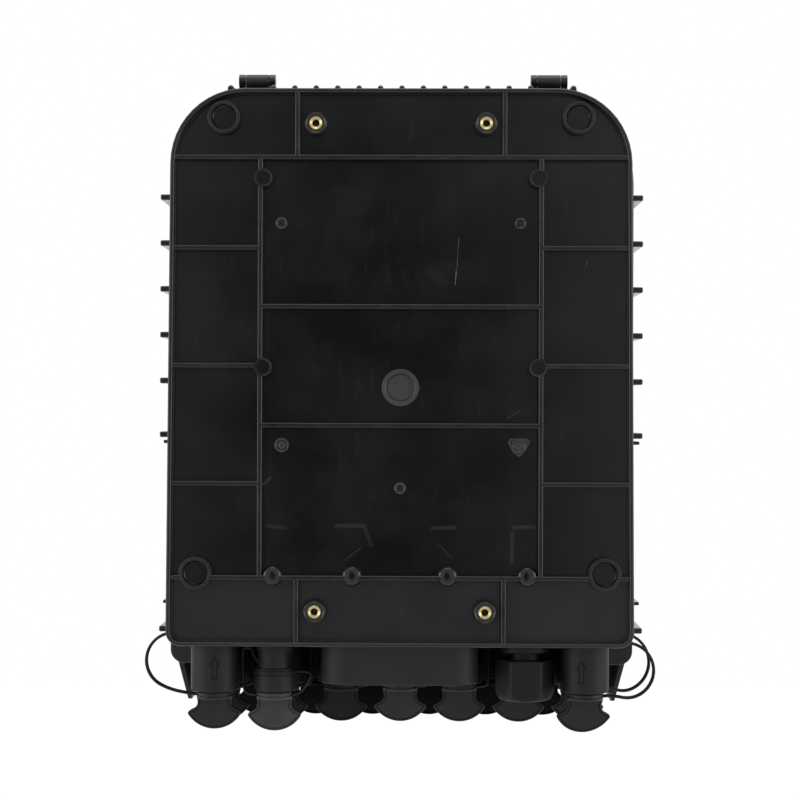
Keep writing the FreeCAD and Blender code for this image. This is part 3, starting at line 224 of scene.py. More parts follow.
class Mould:
    """Gathers closed forms into one mesh. Each form's faces point outwards."""

    strap_round = 0.35
    merge_distance = 1e-6
    flat_angle = math.radians(0.6)
    edge_angle = math.radians(28)

    def __init__(self) -> None:
        """Starts with nothing in it."""
        self.form = bmesh.new()

    def loft(self, rings: Sequence[Ring], closed: bool = False) -> "Mould":
        """Skins rings of equal length in order.

        Args:
            rings: The rings' points in millimetres.
            closed: True if the last ring joins the first one, otherwise both ends are capped.

        Returns:
            The mould itself.
        """
        made = [[self.form.verts.new(point * MM) for point in ring] for ring in rings]
        faces = []
        for ring, following in zip(made, made[1:] + (made[:1] if closed else [])):
            for index, vertex in enumerate(ring):
                beside = (index + 1) % len(ring)
                faces.append(self.form.faces.new((vertex, ring[beside], following[beside], following[index])))
        if not closed:
            faces.append(self.form.faces.new(made[0][::-1]))
            faces.append(self.form.faces.new(made[-1]))
        bmesh.ops.recalc_face_normals(self.form, faces=faces)
        return self

    def lathe(self, profile: Flat, centre: Pair, axis: Axis, steps: int = 48,
              closed: bool = False) -> "Mould":
        """Turns a profile about a line along an axis.

        Args:
            profile: Pairs of radius and height along the axis.
            centre: Where the line stands in the axis's own plane.
            axis: The axis.
            steps: Sides of the turned form.
            closed: True for a profile that closes on itself.

        Returns:
            The mould itself.
        """
        rings = [axis.ring(circle(centre, radius, steps), along) for radius, along in profile]
        return self.loft(rings, closed)

    def lathe_all(self, profile: Flat, places: Iterable[Pair], steps: int = 48) -> "Mould":
        """Turns a profile about lines along Y.

        Args:
            profile: Pairs of radius and depth.
            places: Where the lines stand in X and Z.
            steps: Sides of the turned forms.

        Returns:
            The mould itself.
        """
        for place in places:
            self.lathe(profile, place, Axis.Y, steps)
        return self

    def slab(self, outline: Flat, axis: Axis, low: float, high: float, edge: float) -> "Mould":
        """Draws an outline out along an axis, with rounded edges at both ends.

        Args:
            outline: The closed outline, counter-clockwise.
            axis: The axis.
            low: One end.
            high: The other end.
            edge: Radius of the rounded edges.

        Returns:
            The mould itself.
        """
        steps = quarter(edge)
        rings = [axis.ring(inset(outline, pull), low + depth) for pull, depth in steps]
        rings += [axis.ring(inset(outline, pull), high - depth) for pull, depth in reversed(steps)]
        return self.loft(rings)

    def bar(self, low: Sequence[float], high: Sequence[float], edge: float, segments: int = 2) -> "Mould":
        """A box with rounded edges.

        Args:
            low: Its lowest corner.
            high: Its highest corner.
            edge: Radius of its edges.
            segments: Steps in each edge.

        Returns:
            The mould itself.
        """
        corners = bmesh.ops.create_cube(self.form, size=1)["verts"]
        for corner in corners:
            place = [(a + b) / 2 + share * (b - a) for a, b, share in zip(low, high, corner.co)]
            corner.co = Vector(place) * MM
        edges = list({item for corner in corners for item in corner.link_edges})
        bmesh.ops.bevel(self.form, geom=edges, offset=edge * MM, segments=segments, profile=0.5,
                        affect="EDGES", clamp_overlap=True)
        return self

    def strap(self, route: Ring, wide: float, thick: float) -> "Mould":
        """A flat strap with rounded edges along a route that lies in an upright plane.

        Args:
            route: The centre line's points.
            wide: Width, in depth (Y).
            thick: Thickness.

        Returns:
            The mould itself.
        """
        edge = thick * self.strap_round
        flat = [(thick / 2 - edge, wide / 2), (thick / 2, wide / 2 - edge)]
        section = flat + [(u, -v) for u, v in reversed(flat)]
        section += [(-u, -v) for u, v in flat] + [(-u, v) for u, v in reversed(flat)]
        rings = []
        for index, point in enumerate(route):
            ahead = route[min(index + 1, len(route) - 1)] - route[max(index - 1, 0)]
            side = Vector((ahead.z, 0, -ahead.x)).normalized()
            rings.append([point + side * u + Vector((0, v, 0)) for u, v in section])
        return self.loft(rings)

    def copy_of(self, node: bpy.types.Object, edge: float) -> "Mould":
        """A merged copy of a solid's mesh with its sharp edges softened.

        Args:
            node: The solid's object.
            edge: Width of the softened edges.

        Returns:
            The mould itself.
        """
        form = self.form
        form.from_mesh(node.data)
        bmesh.ops.remove_doubles(form, verts=form.verts, dist=self.merge_distance)
        bmesh.ops.dissolve_limit(form, angle_limit=self.flat_angle, verts=form.verts, edges=form.edges)
        edges = [item for item in form.edges
                 if item.is_manifold and item.calc_face_angle(0) > self.edge_angle]
        bmesh.ops.bevel(form, geom=edges, offset=edge * MM, segments=2, profile=0.5,
                        affect="EDGES", clamp_overlap=False)
        return self

    def mesh(self, name: str) -> bpy.types.Mesh:
        """Turns what was gathered into a mesh.

        Args:
            name: The mesh's name.

        Returns:
            The mesh, smooth but for its sharp edges.
        """
        mesh = bpy.data.meshes.new(name)
        self.form.to_mesh(mesh)
        self.form.free()
        return smooth(mesh)


def cut_away(name: str, form: Mould, knife: Mould) -> bpy.types.Mesh:
    """Cuts one form out of another.

    Args:
        name: Name of the mesh that comes out.
        form: What is cut.
        knife: What is taken away.

    Returns:
        The cut mesh.
    """
    body = add_object(f"{name}_body", form.mesh(f"{name}_whole"))
    tool = add_object(f"{name}_tool", knife.mesh(f"{name}_tool"))
    cut = body.modifiers.new("cut", "BOOLEAN")
    cut.operation = "DIFFERENCE"
    cut.solver = "EXACT"
    cut.object = tool
    mesh = plain_mesh(body)
    mesh.name = name
    for item in (body, tool):
        bpy.data.objects.remove(item)
    return smooth(mesh)


def join_meshes(name: str, meshes: Iterable[bpy.types.Mesh]) -> bpy.types.Mesh:
    """Puts several meshes into one.

    Args:
        name: The new mesh's name.
        meshes: The meshes, which are used up.

    Returns:
        The mesh.
    """
    gathered = bmesh.new()
    for mesh in list(meshes):
        gathered.from_mesh(mesh)
        bpy.data.meshes.remove(mesh)
    joined = bpy.data.meshes.new(name)
    gathered.to_mesh(joined)
    gathered.free()
    return smooth(joined)


def smooth_route(points: Ring) -> Ring:
    """The points of a smooth spline with the given control points.

    Args:
        points: The control points in millimetres.

    Returns:
        Points along the spline.
    """
    curve = bpy.data.curves.new("route", "CURVE")
    curve.dimensions = "3D"
    spline = curve.splines.new("NURBS")
    spline.points.add(len(points) - 1)
    for spot, point in zip(spline.points, points):
        spot.co = (*point, 1)
    spline.order_u = 3
    spline.use_endpoint_u = True
    spline.resolution_u = 8
    carrier = add_object("route", curve)
    mesh = plain_mesh(carrier)
    route = [vertex.co.copy() for vertex in mesh.vertices]
    bpy.data.objects.remove(carrier)
    bpy.data.meshes.remove(mesh)
    return route


class NodeSheet:
    """A shader tree that is filled in node by node."""

    mix_colours = (6, 7)
    mix_result = 2

    def __init__(self, tree: bpy.types.NodeTree, coordinate: str) -> None:
        """Takes a tree and the texture coordinate that its patterns follow.

        Args:
            tree: The tree.
            coordinate: The coordinate's name.
        """
        self.tree = tree
        self.where = self.add("ShaderNodeTexCoord").outputs[coordinate]

    def feed(self, socket: Socket, value: object) -> None:
        """Fills an input.

        Args:
            socket: The input.
            value: A plain value, or another node's output to link to.
        """
        if isinstance(value, Socket):
            self.tree.links.new(value, socket)
        else:
            socket.default_value = value

    def add(self, kind: str, inputs: dict[str | int, object] | None = None, **settings: object
            ) -> bpy.types.Node:
        """Adds a node.

        Args:
            kind: The node's type.
            inputs: Values or sockets for its inputs.
            settings: The node's own settings.

        Returns:
            The node.
        """
        node = self.tree.nodes.new(kind)
        for name, value in settings.items():
            setattr(node, name, value)
        for key, value in (inputs or {}).items():
            self.feed(node.inputs[key], value)
        return node

    def noise(self, scale: float, detail: float = 2, rough: float = 0.5,
              stretch: Colour = (1, 1, 1)) -> Socket:
        """Noise on the piece's own coordinates.

        Args:
            scale: Its fineness, in features for each metre.
            detail: Octaves.
            rough: How strong the fine octaves are.
            stretch: Scale along each axis.

        Returns:
            Its value.
        """
        where = self.add("ShaderNodeMapping", {"Vector": self.where, "Scale": stretch}).outputs[0]
        inputs = {"Vector": where, "Scale": scale, "Detail": detail, "Roughness": rough}
        return self.add("ShaderNodeTexNoise", inputs).outputs[0]

    def ramp(self, value: Socket, low: float, high: float, first: float = 0, last: float = 1,
             **settings: object) -> Socket:
        """Maps the range from low to high of a value to that from first to last, and holds it there."""
        inputs = {"Value": value, "From Min": low, "From Max": high, "To Min": first, "To Max": last}
        return self.add("ShaderNodeMapRange", inputs, **settings).outputs[0]

    def math(self, operation: str, first: object, second: object) -> Socket:
        """One sum of two values or sockets."""
        return self.add("ShaderNodeMath", {0: first, 1: second}, operation=operation).outputs[0]

    def vector(self, operation: str, inputs: dict[str | int, object], result: str | int = 0) -> Socket:
        """One sum of vectors, with the output that holds its result."""
        return self.add("ShaderNodeVectorMath", inputs, operation=operation).outputs[result]

    def part(self, index: int) -> Socket:
        """One coordinate of the place: 0 for X, 1 for Y, 2 for Z."""
        return self.add("ShaderNodeSeparateXYZ", {0: self.where}).outputs[index]

    def mix(self, share: Socket, first: object, second: object) -> Socket:
        """Mixes two colours.

        Args:
            share: How much of the second.
            first: The first colour or its socket.
            second: The second colour or its socket.

        Returns:
            The mixed colour.
        """
        node = self.add("ShaderNodeMix", {0: share}, data_type="RGBA")
        for index, colour in zip(self.mix_colours, (first, second)):
            self.feed(node.inputs[index], colour if isinstance(colour, Socket) else (*colour, 1))
        return node.outputs[self.mix_result]


class MaterialSheet(NodeSheet):
    """A new material's tree, on Object coordinates, with its shader."""

    def __init__(self, name: str) -> None:
        """Makes the material.

        Args:
            name: The material's name.
        """
        self.material = bpy.data.materials.new(name)
        self.material.use_nodes = True
        super().__init__(self.material.node_tree, "Object")
        self.shader = self.tree.nodes["Principled BSDF"]

    def bump(self, height: Socket, strength: float, distance: float) -> None:
        """Raises the surface by a height, with its strength and its depth in millimetres."""
        node = self.add("ShaderNodeBump", {"Height": height, "Strength": strength, "Distance": distance * MM})
        self.feed(self.shader.inputs["Normal"], node.outputs[0])

    def shade(self, **inputs: object) -> None:
        """Sets the shader's sockets, named with underscores for spaces, to values or sockets."""
        for name, value in inputs.items():
            self.feed(self.shader.inputs[name.replace("_", " ")], value)


@dataclass(frozen=True)
class Stroke:
    """A pale mark on the rear between two places (X and Z): its width and its strength."""

    start: Pair
    end: Pair
    width: float = 0.24
    strength: float = 0.8


@dataclass(frozen=True)
class MouldedPlastic:
    """Injection-moulded plastic: faint colour clouds, fine grain, soft scuffs and some dust."""

    name: str
    colour: Colour
    pale: Colour
    roughness: float = 0.36
    grain: float = 0.05
    dust: float = 0.0
    specular: float = 0.5
    strokes: tuple[Stroke, ...] = ()
    broad_stroke: float = 0.8
    mark: Colour = (0.17, 0.17, 0.165)
    worn_depth: float = 0.0
    worn: Colour = (0.0105, 0.0105, 0.0103)
    worn_rough: float = 0.12
    # Below this level (Z, millimetres) the colour turns paler and the surface rougher; the paler tint is
    # painted light from below on the lower band.
    lit_band_below: float | None = None
    lit_band_tint: Colour = (0.0078, 0.0078, 0.0076)
    lit_band_rough: float = 0.10

    def build(self) -> bpy.types.Material:
        """Makes the material.

        Returns:
            The material.
        """
        sheet = MaterialSheet(self.name)
        clouds = sheet.ramp(sheet.noise(26, 4, 0.6), 0.38, 0.66)
        tint = sheet.mix(clouds, self.colour, self.pale)
        rub = sheet.ramp(sheet.noise(340, 5, 0.7, (1, 1, 0.16)), 0.60, 0.80, 0, 0.10)
        rough = sheet.ramp(clouds, 0, 1, self.roughness - 0.03, self.roughness + 0.04)
        rough = sheet.math("ADD", rough, rub)
        # Painted light: a paler tint below a level, for the light from below on the lower band.
        if self.lit_band_below is not None:
            below = sheet.ramp(sheet.part(2), self.lit_band_below * MM, (self.lit_band_below - 1) * MM)
            tint = sheet.mix(below, tint, self.lit_band_tint)
            rough = sheet.math("ADD", rough, sheet.math("MULTIPLY", below, self.lit_band_rough))
        marks = self._marks(sheet)
        if marks is not None:
            tint = sheet.mix(marks, tint, self.mark)
        if self.worn_depth:
            worn = self._rubbed(sheet)
            tint = sheet.mix(worn, tint, self.worn)
            rough = sheet.math("ADD", rough, sheet.math("MULTIPLY", worn, self.worn_rough))
        sheet.bump(sheet.noise(5200), self.grain, 0.06)
        sheet.shade(Base_Color=tint, Roughness=rough, Specular_IOR_Level=self.specular)
        return sheet.material

    def _rubbed(self, sheet: MaterialSheet) -> Socket:
        """Where the foremost tops of ribs, rim and bosses are rubbed pale.

        Args:
            sheet: The material's sheet.

        Returns:
            The mask.
        """
        tops = sheet.ramp(sheet.part(1), self.worn_depth * MM, (self.worn_depth - 0.3) * MM)
        patchy = sheet.ramp(sheet.noise(75, 5, 0.7), 0.40, 0.68, 0.22, 1)
        return sheet.math("MULTIPLY", tops, patchy)

    def _marks(self, sheet: MaterialSheet) -> Socket | None:
        """Dust specks and scratches as one mask.

        Args:
            sheet: The material's sheet.

        Returns:
            The mask, or None where the finish has neither.
        """
        mask = None
        if self.dust:
            cells = sheet.add("ShaderNodeTexVoronoi", {"Vector": sheet.where, "Scale": 62.0}).outputs
            some = sheet.add("ShaderNodeSeparateColor", {0: cells["Color"]}).outputs
            spots = sheet.math("LESS_THAN", cells["Distance"], sheet.ramp(some[1], 0, 1, 0.010, 0.026))
            mask = sheet.math("MULTIPLY", spots, sheet.ramp(some[0], 0.45, 0.9, 0, self.dust))
        if self.strokes:
            flat = sheet.vector("MULTIPLY", {0: sheet.where, 1: (1, 0, 1)})
            broken = sheet.ramp(sheet.noise(380, 3, 0.7), 0.36, 0.54, 0.15, 1)
            for stroke in self.strokes:
                line = self._line(sheet, flat, stroke)
                if stroke.width < self.broad_stroke:
                    line = sheet.math("MULTIPLY", line, broken)
                mask = line if mask is None else sheet.math("MAXIMUM", mask, line)
        return mask

    @staticmethod
    def _line(sheet: MaterialSheet, flat: Socket, stroke: Stroke) -> Socket:
        """How near a point is to a stroke.

        Args:
            sheet: The material's sheet.
            flat: The point, with no depth.
            stroke: The stroke.

        Returns:
            Its strength there, down to zero at half its width.
        """
        first = Vector((stroke.start[0], 0, stroke.start[1])) * MM
        along = Vector((stroke.end[0], 0, stroke.end[1])) * MM - first
        offset = sheet.vector("SUBTRACT", {0: flat, 1: first})
        dot = sheet.vector("DOT_PRODUCT", {0: offset, 1: along}, "Value")
        share = sheet.ramp(dot, 0, along.length_squared)
        nearest = sheet.vector("SCALE", {0: along, "Scale": share})
        gap = sheet.vector("DISTANCE", {0: offset, 1: nearest}, "Value")
        return sheet.ramp(gap, stroke.width * MM / 2, stroke.width * MM / 5, 0, stroke.strength)


@dataclass(frozen=True)
class Rubber:
    """Soft moulded rubber: matt, a little cloudy, with a fine dusty bloom."""

    name: str
    colour: Colour
    bloom: Colour
    roughness: float = 0.55
    specular: float = 0.4

    def build(self) -> bpy.types.Material:
        """Makes the material.

        Returns:
            The material.
        """
        sheet = MaterialSheet(self.name)
        clouds = sheet.ramp(sheet.noise(120, 4, 0.65), 0.40, 0.70)
        sheet.bump(sheet.noise(3600), 0.08, 0.05)
        rough = sheet.ramp(sheet.noise(240, 3), 0.3, 0.7, self.roughness - 0.07, self.roughness + 0.07)
        sheet.shade(Base_Color=sheet.mix(clouds, self.colour, self.bloom), Roughness=rough,
                    Specular_IOR_Level=self.specular)
        return sheet.material


@dataclass(frozen=True)
class TurnedMetal:
    """Turned metal: tool marks round it, tarnish in patches."""

    name: str
    colour: Colour
    tarnish: Colour
    roughness: float = 0.28

    def build(self) -> bpy.types.Material:
        """Makes the material.

        Returns:
            The material.
        """
        sheet = MaterialSheet(self.name)
        patches = sheet.ramp(sheet.noise(700, 4, 0.6), 0.42, 0.68)
        sheet.bump(sheet.noise(2600, 2, 0.5, (1, 6, 1)), 0.15, 0.04)
        rough = sheet.ramp(patches, 0, 1, self.roughness, self.roughness + 0.16)
        sheet.shade(Base_Color=sheet.mix(patches, self.colour, self.tarnish), Roughness=rough, Metallic=1.0)
        return sheet.material


CASE_LOOK = ((0.0028, 0.0031, 0.0033), (0.0033, 0.0037, 0.0039), 0.19, 0.03)
REAR_STROKES = (
    Stroke((29.1, 64.9), (27.9, 45)),
    Stroke((27.9, 49), (27.4, 42), 0.5, 1.0),
    Stroke((92.5, 49.5), (93.8, 54), 0.5, 0.3),
    Stroke((53.5, -25.3), (60.5, -21.2), 1.0, 0.09),
    Stroke((-68.8, -59), (-65.2, -55.4), 1.6, 0.16),
    Stroke((-7.6, 50), (-6.2, 43), 6.0, 0.018),
    Stroke((1.5, 49), (2.8, 42), 5.0, 0.016),
    Stroke((15, 49), (22, 43), 6.0, 0.016),
    Stroke((-32, -79.6), (-18, -79.6), 2.6, 0.085),
    Stroke((-18, -79.6), (-14.5, -89.1), 2.6, 0.06),
    Stroke((-19.7, -90.7), (-27.2, -96.7), 1.0, 0.09),
    Stroke((16.2, -80.6), (27.5, -80.2), 2.6, 0.085),
    Stroke((20, -89), (26, -95.7), 1.0, 0.09),
    Stroke((56.2, -97.7), (56.6, -83), 2.6, 0.085),
    Stroke((57.4, -80.2), (67.5, -79.6), 2.6, 0.10),
    Stroke((-67, -79.8), (-57.6, -80.6), 2.6, 0.06),
)


class Finish(Enum):
    """The finishes of the box. Each is made once, when it is first asked for."""

    CASE = MouldedPlastic("case_plastic_black", *CASE_LOOK, worn_depth=0.95)
    # The rear is painted paler below Z -105 mm: painted light from below on its lower band.
    REAR = MouldedPlastic("rear_plastic_black", *CASE_LOOK, dust=0.5, worn_depth=0.95, lit_band_below=-105,
                          strokes=REAR_STROKES)
    RIM = MouldedPlastic("boss_rim_plastic", *CASE_LOOK, worn_depth=0.75, worn=(0.040, 0.040, 0.039))
    # Painted highlight: the pegs are painted paler to stand in for the bright arcs on their rims.
    PEG = MouldedPlastic("peg_plastic_pale_painted_highlight", (0.016, 0.016, 0.0155), (0.034, 0.034, 0.033), 0.22, 0.06, 0.4)
    BOSS = MouldedPlastic("boss_plastic_black", (0.0032, 0.0033, 0.0035), (0.0042, 0.0043, 0.0044),
                          0.16, 0.02)
    PORT = MouldedPlastic("port_plastic_black", (0.0072, 0.0073, 0.0071), (0.0088, 0.0088, 0.0086),
                          0.52, 0.10, specular=0.28)
    ENTRY = MouldedPlastic("entry_plastic_black", (0.0108, 0.0109, 0.0107), (0.0130, 0.0130, 0.0128),
                           0.52, 0.10, specular=0.28)
    # Darker port plastic: on the tubes of rows 2 and 3 it is painted shade for the shade between the rows;
    # the arrow marks use it too.
    PORT_DARK_SHADE = MouldedPlastic("port_plastic_dark_painted_shade", (0.0026, 0.0026, 0.0026),
                                (0.0036, 0.0036, 0.0036), 0.55, 0.08, specular=0.15)
    GATE = MouldedPlastic("gate_plastic_pale", (0.020, 0.020, 0.0195), (0.032, 0.032, 0.031), 0.36, 0.12, 0.4)
    COVER = MouldedPlastic("cover_plastic_black", (0.0060, 0.0060, 0.0062), (0.0080, 0.0080, 0.0080),
                           0.38, 0.16)
    GLAND = MouldedPlastic("gland_nylon_black", (0.0032, 0.0032, 0.0033), (0.0046, 0.0046, 0.0046),
                           0.50, 0.06, specular=0.25)
    CAP = Rubber("cap_rubber_black", (0.0060, 0.0060, 0.0061), (0.0096, 0.0096, 0.0094), 0.50)
    # Painted shade: caps 4 to 6, left of the middle in row 2, are painted darker for the shade on them.
    CAP_SHADED = Rubber("cap_rubber_painted_shade", (0.0040, 0.0040, 0.0040), (0.0062, 0.0062, 0.0060), 0.54, 0.25)
    CAP_DULL = Rubber("cap_rubber_dull_olive", (0.0086, 0.0088, 0.0070), (0.0140, 0.0142, 0.0116), 0.52)
    # The caps of the back row, 11 to 16, are made darker than the other caps.
    CAP_BACK_ROW = Rubber("cap_rubber_back_row_darker", (0.0018, 0.0018, 0.0018), (0.0030, 0.0030, 0.0029), 0.62, 0.12)
    CAP_PALE = Rubber("cap_rubber_pale_olive", (0.0290, 0.0290, 0.0255), (0.0420, 0.0415, 0.0370), 0.50)
    CAP_OLIVE = Rubber("cap_rubber_olive", (0.0150, 0.0154, 0.0116), (0.0245, 0.0248, 0.0195), 0.50)
    STRAP = Rubber("strap_rubber_black", (0.0036, 0.0036, 0.0036), (0.0062, 0.0061, 0.0059), 0.50, 0.25)
    SEAL = Rubber("seal_rubber_black", (0.0075, 0.0075, 0.0075), (0.0130, 0.0130, 0.0125), 0.62)
    BRASS = TurnedMetal("insert_brass", (1.00, 0.84, 0.52), (0.86, 0.62, 0.30), 0.50)
    STEEL = TurnedMetal("pin_steel", (0.56, 0.56, 0.57), (0.40, 0.40, 0.41), 0.30)
    ADAPTER = MouldedPlastic("adapter_plastic_green", (0.020, 0.150, 0.060), (0.026, 0.180, 0.075),
                             0.38, 0.04)
    TRAY = MouldedPlastic("tray_plastic_grey", (0.300, 0.305, 0.310), (0.350, 0.355, 0.360), 0.42, 0.08)
    SPLITTER = MouldedPlastic("splitter_plastic_grey", (0.055, 0.057, 0.060), (0.075, 0.077, 0.080),
                              0.45, 0.10)

    @property
    def material(self) -> bpy.types.Material:
        """The finish's material."""
        return bpy.data.materials.get(self.value.name) or self.value.build()


def set_piece(name: str, form: Mould | bpy.types.Mesh, finish: Finish) -> bpy.types.Object:
    """Puts a form into the scene as a finished piece.

    Args:
        name: The piece's name.
        form: A mould, or a mesh that is ready, in place.
        finish: Its finish.

    Returns:
        The piece's object, at the origin.
    """
    mesh = form.mesh(name) if isinstance(form, Mould) else form
    piece = add_object(name, mesh)
    mesh.materials.clear()
    mesh.materials.append(finish.material)
    level = piece.modifiers.new("flat_faces", "WEIGHTED_NORMAL")
    level.keep_sharp = True
    level.weight = 100
    LOG.info("%s: %d faces", name, len(mesh.polygons))
    return piece


def set_rigid(name: str, form: Mould | bpy.types.Mesh, finish: Finish, slot: str, body: str,
              *nodes: str) -> None:
    """Puts a piece into the scene that rides on a body and stands for solids.

    Args:
        name: The piece's name.
        form: A mould, or a mesh that is ready, in place.
        finish: Its finish.
        slot: The record's material slot; not used.
        body: The body's name.
        nodes: The solids that it stands for.
    """
    piece = set_piece(name, form, finish)
    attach(piece, body)
    if nodes:
        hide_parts(*nodes)


class Repeat(Enum):
    """How a small form is repeated: along a line, or round a line along Y."""

    ROW = "row"
    RING = "ring"


class RepeatTree:
    """A node tree that repeats the form it is given, and makes the result plain."""

    inputs = {"Form": "Geometry", "Count": "Int", "Start": "Vector", "Step": "Vector", "Finish": "Material"}

    def __init__(self, kind: Repeat) -> None:
        """Builds the tree.

        Args:
            kind: How it repeats.
        """
        self.tree = bpy.data.node_groups.new(f"repeat_in_{kind.value}", "GeometryNodeTree")
        face = self.tree.interface
        self.keys: dict[str, str] = {}
        for name, data in self.inputs.items():
            socket = face.new_socket(name, in_out="INPUT", socket_type=f"NodeSocket{data}")
            self.keys[name] = socket.identifier
        face.new_socket("Result", in_out="OUTPUT", socket_type="NodeSocketGeometry")
        nodes, links = self.tree.nodes, self.tree.links
        given = nodes.new("NodeGroupInput").outputs
        line = nodes.new("GeometryNodeMeshLine")
        spread = nodes.new("GeometryNodeInstanceOnPoints")
        plain = nodes.new("GeometryNodeRealizeInstances")
        paint = nodes.new("GeometryNodeSetMaterial")
        out = nodes.new("NodeGroupOutput")
        links.new(given["Count"], line.inputs["Count"])
        links.new(given["Start"], line.inputs["Start Location"])
        links.new(line.outputs["Mesh"], spread.inputs["Points"])
        links.new(given["Form"], spread.inputs["Instance"])
        if kind is Repeat.ROW:
            links.new(given["Step"], line.inputs["Offset"])
        else:
            index = nodes.new("GeometryNodeInputIndex")
            turn = nodes.new("ShaderNodeVectorMath")
            turn.operation = "SCALE"
            line.inputs["Offset"].default_value = (0, 0, 0)
            links.new(given["Step"], turn.inputs[0])
            links.new(index.outputs[0], turn.inputs["Scale"])
            links.new(turn.outputs[0], spread.inputs["Rotation"])
        links.new(spread.outputs[0], plain.inputs[0])
        links.new(plain.outputs[0], paint.inputs["Geometry"])
        links.new(given["Finish"], paint.inputs["Material"])
        links.new(paint.outputs[0], out.inputs["Result"])

    def run(self, form: Mould, name: str, count: int, start: Sequence[float], step: Sequence[float],
            finish: Finish) -> bpy.types.Mesh:
        """Repeats a form.

        Args:
            form: The form to repeat, in millimetres.
            name: Name of the mesh that comes out.
            count: How often.
            start: Where the first one stands, in metres.
            step: The step from one to the next, in metres, or the turn about each axis.
            finish: Its finish.

        Returns:
            A plain mesh of all of them.
        """
        carrier = add_object(f"{name}_carrier", form.mesh(f"{name}_form"))
        modifier = carrier.modifiers.new("repeat", "NODES")
        modifier.node_group = self.tree
        values = {"Count": count, "Start": tuple(start), "Step": tuple(step), "Finish": finish.material}
        for key, value in values.items():
            modifier[self.keys[key]] = value
        mesh = plain_mesh(carrier)
        mesh.name = name
        bpy.data.objects.remove(carrier)
        return mesh


@dataclass(frozen=True)
class Lamp:
    """One soft square lamp: its place in metres, its side, its power in watts and its colour."""

    name: str
    place: tuple[float, float, float]
    width: float
    power: float
    colour: Colour = (1, 1, 1)


